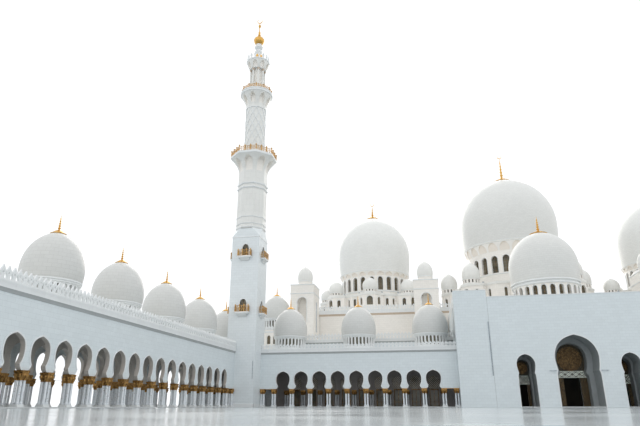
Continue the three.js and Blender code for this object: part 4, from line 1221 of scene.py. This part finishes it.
def interlace(centre, y, half, foot, top):
    """Pale band crossed by paired pale strands with dark edges."""
    left, right = centre - half, centre + half
    part = box(left, right, y - 0.14, y - 0.02, foot, top, "pale")
    for z in (top - 0.09, foot + 0.01):
        part += box(left, right, y - 0.28, y - 0.02, z, z + 0.08, "pale")
    middle, swing = (foot + top) / 2, (top - foot) / 2 - 0.14
    repeats = max(1, round(2 * half / ((top - foot) * 1.9)))
    step = half / repeats
    for start, offset in ((-1, 0.0), (-1, 0.3), (1, 0.0), (1, 0.3)):
        corners = [(left, middle + start * swing * (1 - offset))]
        corners += [(left + step * (i + offset), middle + start * swing * (-1) ** i)
                    for i in range(2 * repeats + 1) if 0 < i + offset <= 2 * repeats]
        for p, q in zip(corners, corners[1:]):
            part += bar(p, q, 0.5, y - 0.17, 0.04, "mosaic")
            part += bar(p, q, 0.17, y - 0.21 - 0.01 * start, 0.07, "pale")
    return part


def portal_doors(centre, y, spec):
    """What closes a portal arch at the back: latticed round head, interlaced band, dark doors."""
    ring, door, foot, top = spec.ring, spec.door, spec.band_foot, spec.band_top
    wide = spec.jamb + 0.3
    part = box(centre - wide, centre + wide, y - 0.06, y - 0.02, top, spec.ring_z + ring * 1.4, "mosaic")
    disc = ring_hole(centre, spec.ring_z, ring, 40)
    pitch = ring * 0.13
    part += pane(disc, y - 0.16, "mosaic")
    part += lattice(disc, pitch, 0.075, y - 0.22, 0.06, "bronze", (0, 60, -60))
    part += lattice(disc, pitch * 1.9, 0.05, y - 0.25, 0.04, "bronze", (30, 90, -30))
    part += band(disc + disc[:1], y - 0.05, 0.1, 0.2, "bronze")
    part += interlace(centre, y, spec.jamb, foot, top)
    # A near-black sheet behind each door paints the shade of the dark inside.
    part += box(centre - door, centre + door, y + 0.5, y + 0.56, DOOR_FOOT, foot, "dark")
    for sign in (-1, 1):
        x0, x1 = (centre + edge for edge in span(sign, door, wide))
        part += box(x0, x1, y - 0.1, y - 0.02, DOOR_FOOT, foot, "mosaic")
        field = [(x0 + 0.1, 0.3), (x1 - 0.1, 0.3), (x1 - 0.1, foot - 0.1), (x0 + 0.1, foot - 0.1)]
        part += lattice(field, 0.3, 0.05, y - 0.16, 0.06)
        part += post_box(centre + sign * (door + 0.05), y, 0.08, DOOR_FOOT, foot, "bronze")
    return part


def portal_front():
    front = PORTAL_FRONT
    outline, trims = [(-PORTAL_HALF, 0.0)], []
    for centre, arch in PORTAL_ARCHES:
        line = arch_line(arch.side, centre, 6)
        outline += line
        trims += band(line, front, arch.trim, 0.05)
    outline += [(PORTAL_HALF, 0.0), (PORTAL_HALF, PIER_TOP), (PIER_INNER, PIER_TOP), (PIER_INNER, PORTAL_TOP),
                (-PIER_INNER, PORTAL_TOP), (-PIER_INNER, PIER_TOP), (-PORTAL_HALF, PIER_TOP)]
    # The arch reveals take the cool dark porch marble as painted shade.
    part = panel(outline, [], front, PORTAL_BACK, "marble", "porch", 15.0) + trims
    for x0, x1, z in ((-PIER_INNER, PIER_INNER, PORTAL_TOP), (-PORTAL_HALF, -PIER_INNER, PIER_TOP),
                      (PIER_INNER, PORTAL_HALF, PIER_TOP)):
        part += box(x0, x1, front - 0.06, front + 0.05, z - 0.14, z + 0.01, "trim")
    back = front + 0.02
    for sign in (-1, 1):
        joint, rail = sign * (PIER_INNER - 0.06), sign * (PIER_INNER + 0.1)
        # The thin dark strip at each pier's inner edge is painted shadow along its joint with the middle
        # wall.
        part += box(joint - 0.03, joint + 0.03, front - 0.015, back, 0.05, PORTAL_TOP - 0.15, "shade")
        part += box(rail - 0.09, rail + 0.09, front - 0.09, back, 6.3, 17.6, "steel")
        part += box(*span(sign, 4.25, 5.75), front - 0.3, front - 0.22, 7.12, 7.21, "steel")
        for arm in span(sign, 4.55, 5.45):
            part += box(arm - 0.04, arm + 0.04, front - 0.3, back, 7.1, 7.23, "steel")
    return part


def portal_screens():
    """Narrower inner order of arches, the wall with the doors and what closes them."""
    order_front = PORTAL_BACK + 0.01
    start = [(-PORTAL_HALF, WALL_FOOT)]
    end = [(PORTAL_HALF, WALL_FOOT), (PORTAL_HALF, SCREEN_TOP), (-PORTAL_HALF, SCREEN_TOP)]
    part, order, doors = [], [], []
    for x, arch in PORTAL_ARCHES:
        line = arch_line(arch.inner, x, 6)
        order += line
        half, top = arch.door, arch.band_foot
        doors += [(x - half, WALL_FOOT), (x - half, top), (x + half, top), (x + half, WALL_FOOT)]
        part += band(line, order_front, 0.12, 0.04, "porch") + portal_doors(x, DOOR_PLANE, arch)
    # The inner order's face, reveals and mouldings take the porch marble as painted shade.
    part += panel(start + order + end, [], order_front, DOOR_PLANE, "porch", "porch", 13.5)
    return part + panel(start + doors + end, [], DOOR_PLANE + 0.01, DOOR_PLANE + 0.8)


def portal():
    make("portal_arched_front", portal_front(), ["portal_front_wall"])
    make("portal_screens", portal_screens(), ["portal_inner_wall"])
    half, foot = PORTAL_HALF, PORTAL_ROOF - PORTAL_SLAB
    roof = slab(rectangle(half, PORTAL_BACK + GAP, BLOCK_BACK), [ring_hole(ENTRY.x, ENTRY.y, 7.1, 48)],
                foot, PORTAL_ROOF)

    def row(x0, x1, y):
        return merlons(x0, x1, y, PORTAL_ROOF - 0.02, 1.6)

    for sign in (-1, 1):
        roof += box(*span(sign, half, half - 1.0), 4.82, BLOCK_BACK, WALL_FOOT, foot)
        roof += facing_x(sign, row, 2.6, 36.2, sign * half)
    make("portal_roof", roof, ["portal_roof_and_sides"])


# Domes and podiums


def drum_wall(spec, top):
    """Drum with its ring of windows, their beads and bars, a plinth and a sill moulding."""
    r, foot, sill, head, half = spec.drum, spec.drum_foot, spec.sill, spec.head, spec.half
    hole = window(half, sill, head, steps=8)
    wall = ring_wall(r, foot + GAP, top, WINDOWS, hole, 0.75)
    line = [(half, sill)] + hole[2:] + [(-half, sill)]
    field = tube_line([(r * sin(s / r), -r * cos(s / r), z) for s, z in line], 0.1)
    field += box(-0.05, 0.05, 0.6 - r, 0.68 - r, sill, head - 0.05, "bronze")
    rows = max(3, int((head - sill) / 0.9))
    for i in range(1, rows):
        z = sill + (head - sill) * i / rows
        field += box(-half * 0.96, half * 0.96, 0.64 - r, 0.72 - r, z - 0.035, z + 0.035, "bronze")
    out = spec.plinth
    plinth = [(r + out, foot), (r + out, foot + 0.7), (r + 0.12, foot + 0.95)]
    sill_ring = [(r, sill - 0.55), (r + 0.14, sill - 0.42), (r + 0.14, sill - 0.25), (r, sill - 0.2)]
    return wall + around(field, WINDOWS) + hoop(r - 0.6, plinth, 72) + hoop(r - 0.6, sill_ring, 72)


def lip(base, z, out, height):
    """Moulding round a dome's foot."""
    shape = ((0.7, -0.5), (1.0, -0.2), (1.0, 0.2), (0.6, 0.5))
    return hoop(base - 0.6, [(base + out * wide, z + height * up) for wide, up in shape], 96)


def big_dome(label, spec, x):
    r, foot = spec.drum, spec.foot
    base = spec.r * FOOT_SHARE
    shell = lathe(dome_profile(spec, 40, 0.7), 96, "own")
    if spec.scallop:
        flare = [(r, 0), (base + 0.14 - r, 1)]
        wall = drum_wall(spec, spec.scallop[0])
        # The cream ring is painted lighter for light on its downward faces; the scallop marble paints a warm
        # shade in the niche hollows.
        wall += flared_ring(WINDOWS, flare, flare + [(-0.5, 1.3)], spec.scallop, 0.8, "cream", "scallop",
                            rows=3)
        shell += lip(base, spec.scallop[3] + 0.1, 0.22, 0.24)
    else:
        wall = drum_wall(spec, foot - 0.75)
        wall += hoop(r - 0.6, [(r + 0.12, foot - 0.8), (base - 0.1, foot - 0.7), (base - 0.1, foot)], 72)
        shell += lip(base - 0.1, foot - 0.55, 0.3, 0.34) + lip(base, foot + 0.2, 0.3, 0.36)
    own = dome_material(f"{label}_dome_marble", spec.r, spec.tone)
    top = finial(spec, spec.skirt, spec.spire, spec.moon)
    for name, part, slot, node in (("drum_dressed", wall, "warm_marble", "drum"),
                                   ("dome_shell", shell, "dome_shell", "dome"),
                                   ("gold_finial", top, "gilded_metal", "finial")):
        make(f"{label}_{name}", part, [f"{label}_{node}"], (x, spec.y), own)


def bay_plan(spec, out=0.0):
    """One of the eight sides of a podium that faces -Y, from its left corner to its right one."""
    half, reach = spec.half + out, spec.reach + out
    front = spec.bay_front + out * tan(pi / 8)
    back = spec.bay_back + out
    cheek = reach - (back - front)
    left = [(-half * tan(pi / 8), -half), (-back, -half), (-back, -cheek), (-front, -reach)]
    return left + [(-x, y) for x, y in left[::-1]]


def podium_roof(spec, hole):
    """Roof slab whose plain edge stands out a little all round."""
    side = bay_plan(spec, 0.2)[:-1]
    plan = []
    for turn in turns(8):
        c, s = cos(turn), sin(turn)
        plan += [(x * c - y * s, x * s + y * c) for x, y in side]
    return slab(plan, [ring_hole(0, 0, hole, 48)], spec.top - PODIUM_SLAB, spec.top, "roof", "trim")


def podium_side(spec):
    """Walls of one side: flat parts, slanted cheeks and the bay's front, each with its window."""
    plan = bay_plan(spec)
    low, high = spec.sill + 0.2, spec.head - 0.3
    cheek = [(CHEEK_WINDOW, low, high, 0.0)]
    shift = spec.side - abs(plan[0][0] + plan[1][0]) / 2
    openings = [[(FLAT_WINDOW, low, high, -shift)], [], cheek, [(spec.arch, spec.sill, spec.head, 0.0)],
                cheek, [], [(FLAT_WINDOW, low, high, shift)]]
    part = []
    for (x0, y0), (x1, y1), opening in zip(plan, plan[1:], openings):
        holes = [window(*sizes) for sizes in opening]
        wall = wall_face(hypot(x1 - x0, y1 - y0) / 2, HALL_CORNICE, spec.top - PODIUM_SLAB + 0.01, holes,
                         0.0, 0.45, "warm", edge="warm")
        for hole in holes:
            wall += band(hole[2:][::-1], 0.0, 0.14, 0.06)
        part += placed(wall, (x0 + x1) / 2, (y0 + y1) / 2, turn=atan2(y1 - y0, x1 - x0))
    lamp = spun([(0.3, 0.0), (0.3, 0.35), (0.18, 0.5)], 10, "steel")
    for x in (0.5 - spec.bay_back, spec.bay_back - 0.5):
        part += placed(lamp, x, -spec.half - 0.6, spec.top)
    return part


def podium(label, spec, dome, x):
    """Eight-sided podium with a bay and a small dome on each side."""
    part = around(podium_side(spec), 8) + podium_roof(spec, dome.drum - 0.7)
    one = little_dome(spec.ring_r, spec.top, spec.ring_top)
    part += around(placed(one, 0.0, -spec.ring), 8)
    make(f"{label}_podium_dressed", part, [f"{label}_podium"], (x, dome.y))


# Hall and turrets


def hall_top(x0, x1, y):
    """Cornice with its soffit painted in warm brown shade, and the battlements on it."""
    part = cornice(x0, x1, y, HALL_CORNICE - 0.7, HALL_TOP, "brown")
    return part + merlons(x0, x1, y, HALL_TOP - 0.02, 1.6)


def hall():
    half, front, back = HALL_HALF, HALL_FRONT, HALL_BACK
    outline = [(-half, WALL_FOOT)] + mirrored(HALL_DOOR)
    outline += [(half, WALL_FOOT), (half, HALL_TOP), (-half, HALL_TOP)]
    wall = panel(outline, [], front, front + HALL_WALL, "warm") + hall_top(-half, half, front)
    make("hall_front", wall, ["hall_front_wall"])
    rest = box(-half, half, back - HALL_WALL, back, WALL_FOOT, HALL_TOP, "warm")
    rest += placed(hall_top(-half, half, -back), turn=pi)
    inner_front = front + HALL_WALL + GAP
    for sign in (-1, 1):
        rest += box(*span(sign, half, half - HALL_WALL), inner_front, back - HALL_WALL, WALL_FOOT,
                    HALL_TOP - 0.01, "warm")
        rest += facing_x(sign, hall_top, front, back, sign * half)
    make("hall_sides_and_back", rest, ["hall_side_and_back_walls"])
    holes = []
    for side, spec, dome in ((0, MAIN_PODIUM, MAIN), (-1, WING_PODIUM, WING), (1, WING_PODIUM, WING)):
        holes.append(ring_hole(side * dome.x, dome.y, (spec.half - 1.6) / cos(pi / 8), 8, pi / 8))
    plan = rectangle(half - HALL_WALL - 0.01, inner_front, back - HALL_WALL - 0.01)
    roof = slab(plan, holes, HALL_CORNICE - HALL_SLAB, HALL_CORNICE)
    make("hall_roof_dressed", roof, ["hall_roof"])


def turret_side():
    """Side of a turret with its tall grey grille."""
    left, right, foot, top = -0.95, 0.75, GRILLE_FOOT, GRILLE_TOP
    y = -TURRET_HALF
    hole = [(left, foot), (right, foot), (right, top), (left, top)]
    part = wall_face(TURRET_DEPTH, TURRET_FOOT, TURRET_TOP, [hole], y, 0.25, "warm", "steel", bars=False)
    for i in range(1, 8):
        z = foot + (top - foot) * i / 8
        part += box(left, right, y + 0.08, y + 0.2, z - 0.05, z + 0.05, "trim")
    return part + box(-0.15, -0.05, y + 0.06, y + 0.2, foot, top, "trim")


def turret():
    half, depth = TURRET_HALF, TURRET_DEPTH
    hole = arch_line(TURRET_ARCH)
    part = wall_face(half, TURRET_FOOT, TURRET_TOP, [hole], -depth, 2.2, "warm", "warm", "warm", False)
    part += band(hole, -depth, 0.18, 0.07)
    part += placed(wall_face(half, TURRET_FOOT, TURRET_TOP, [], -depth, 0.5, "warm"), turn=pi)
    part += around(turret_side(), 2, pi / 2) + caps(half, depth, TURRET_FOOT, TURRET_TOP)
    for z in (31.3, 33.9):
        for turn in range(4):
            width, y = ((half, depth), (depth, half))[turn % 2]
            ring = [(0.02 - y, z), (-0.14 - y, z + 0.12), (-0.14 - y, z + 0.29), (0.02 - y, z + 0.29)]
            part += placed(sweep(ring, -width - 0.12, width + 0.12), turn=turn * pi / 2)
    part += little_dome(2.27, TURRET_TOP, 40.6, slits=False)
    return part + lathe([(0.0, 40.3), (0.12, 40.3), (0.05, 41.0), (0.0, 41.1)], 8, "pale")


def flank_block():
    half, top = FLANK_HALF, FLANK_TOP
    holes = [window(0.5, 16.8, 19.2, c) for c in (-2.7, -0.9, 0.9, 2.7)]
    wall = wall_face(half, 0.0, top, holes, -half, 0.4, "warm", edge="warm")
    wall += sweep([(0.02 - half, 19.9), (-half - 0.1, 20.1), (-half - 0.1, 20.4), (0.02 - half, 20.4)],
                  -half - 0.1, half + 0.1)
    wall += merlons(-half, half, -half, top - 0.03, 1.3)
    plan = rectangle(half - 0.01, 0.01 - half, half - 0.01)
    return around(wall, 4) + slab(plan, [ring_hole(0, 0, DOME_HOLE)], top - 0.65, top)


def turrets():
    one, flank = turret(), flank_block()
    for side, word in ((-1, "left"), (1, "right")):
        for place, distance in TURRETS:
            name = f"{word}_{place}_turret"
            make(f"{name}_dressed", placed(one, side * distance, TURRET_Y), [name])
        name = f"{word}_flank_block"
        make(f"{name}_dressed", placed(flank, side * FLANK_X, FLANK_Y), [name])
        put_arcade_dome(f"{word}_flank_dome", side * FLANK_X, FLANK_Y, FLANK_TOP - ARCADE_TOP)


def hall_floor():
    """The floor of the hall and the portal stays as it is in the model, in marble."""
    node = bpy.data.objects["hall_and_portal_floor"]
    if not node.material_slots:
        node.data.materials.append(MAT["floor"])
    for slot in node.material_slots:
        slot.material = MAT["floor"]


# The building

for direction, word in ((-1, "left"), (1, "right")):
    front_arcade(direction, word)
    minaret(direction, word)
side_arcade()
portal()
big_dome("entry", ENTRY, ENTRY.x)
hall()
for word, base, dome, x in (("main", MAIN_PODIUM, MAIN, MAIN.x), ("left", WING_PODIUM, WING, -WING.x),
                            ("right", WING_PODIUM, WING, WING.x)):
    podium(word, base, dome, x)
    big_dome(word, dome, x)
turrets()
hall_floor()

# Stage, light and camera

ground_mesh = bpy.data.meshes.new("plain_floor")
corners = [(-70, -60, -0.0005), (70, -60, -0.0005), (70, 70, -0.0005), (-70, 70, -0.0005)]
ground_mesh.from_pydata(corners, [], [(0, 1, 2, 3)])
ground = linked("plain_floor", ground_mesh)
ground_look = Look("plain_floor_pale")
ground_rough = ground_look.ramp(ground_look.noise(1.5, 3.0), 0.3, 0.7, 0.12, 0.2)
ground_look.surface((0.42, 0.46, 0.48), ground_rough)
ground_mesh.materials.append(ground_look.mat)

scene = bpy.context.scene
scene.world = bpy.data.worlds.new("soft_studio")
scene.world.use_nodes = True
sky = scene.world.node_tree.nodes["Background"]
sky.inputs[0].default_value = (0.97, 0.985, 1.0, 1)
sky.inputs[1].default_value = 1.18

key_light = bpy.data.lights.new("soft_key", "SUN")
key_light.energy = 1.5
key_light.angle = radians(50)
key_light.color = (1.0, 0.96, 0.9)
linked("soft_key", key_light).rotation_euler = (radians(-65), 0, radians(11))

lens = bpy.data.cameras.new("photo_camera")
lens.sensor_width = 36.0
lens.lens = 36.0 * FOCAL_SHARE
lens.clip_start = 0.01
lens.clip_end = 400.0
scene.camera = linked("photo_camera", lens)
scene.camera.location = CAMERA_AT
scene.camera.rotation_euler = (radians(CAMERA_PITCH), 0.0, radians(CAMERA_YAW))

scene.view_settings.view_transform = "Standard"
scene.view_settings.look = "None"
scene.view_settings.exposure = 0.0
scene.view_settings.gamma = 1.0

bpy.context.view_layer.update()
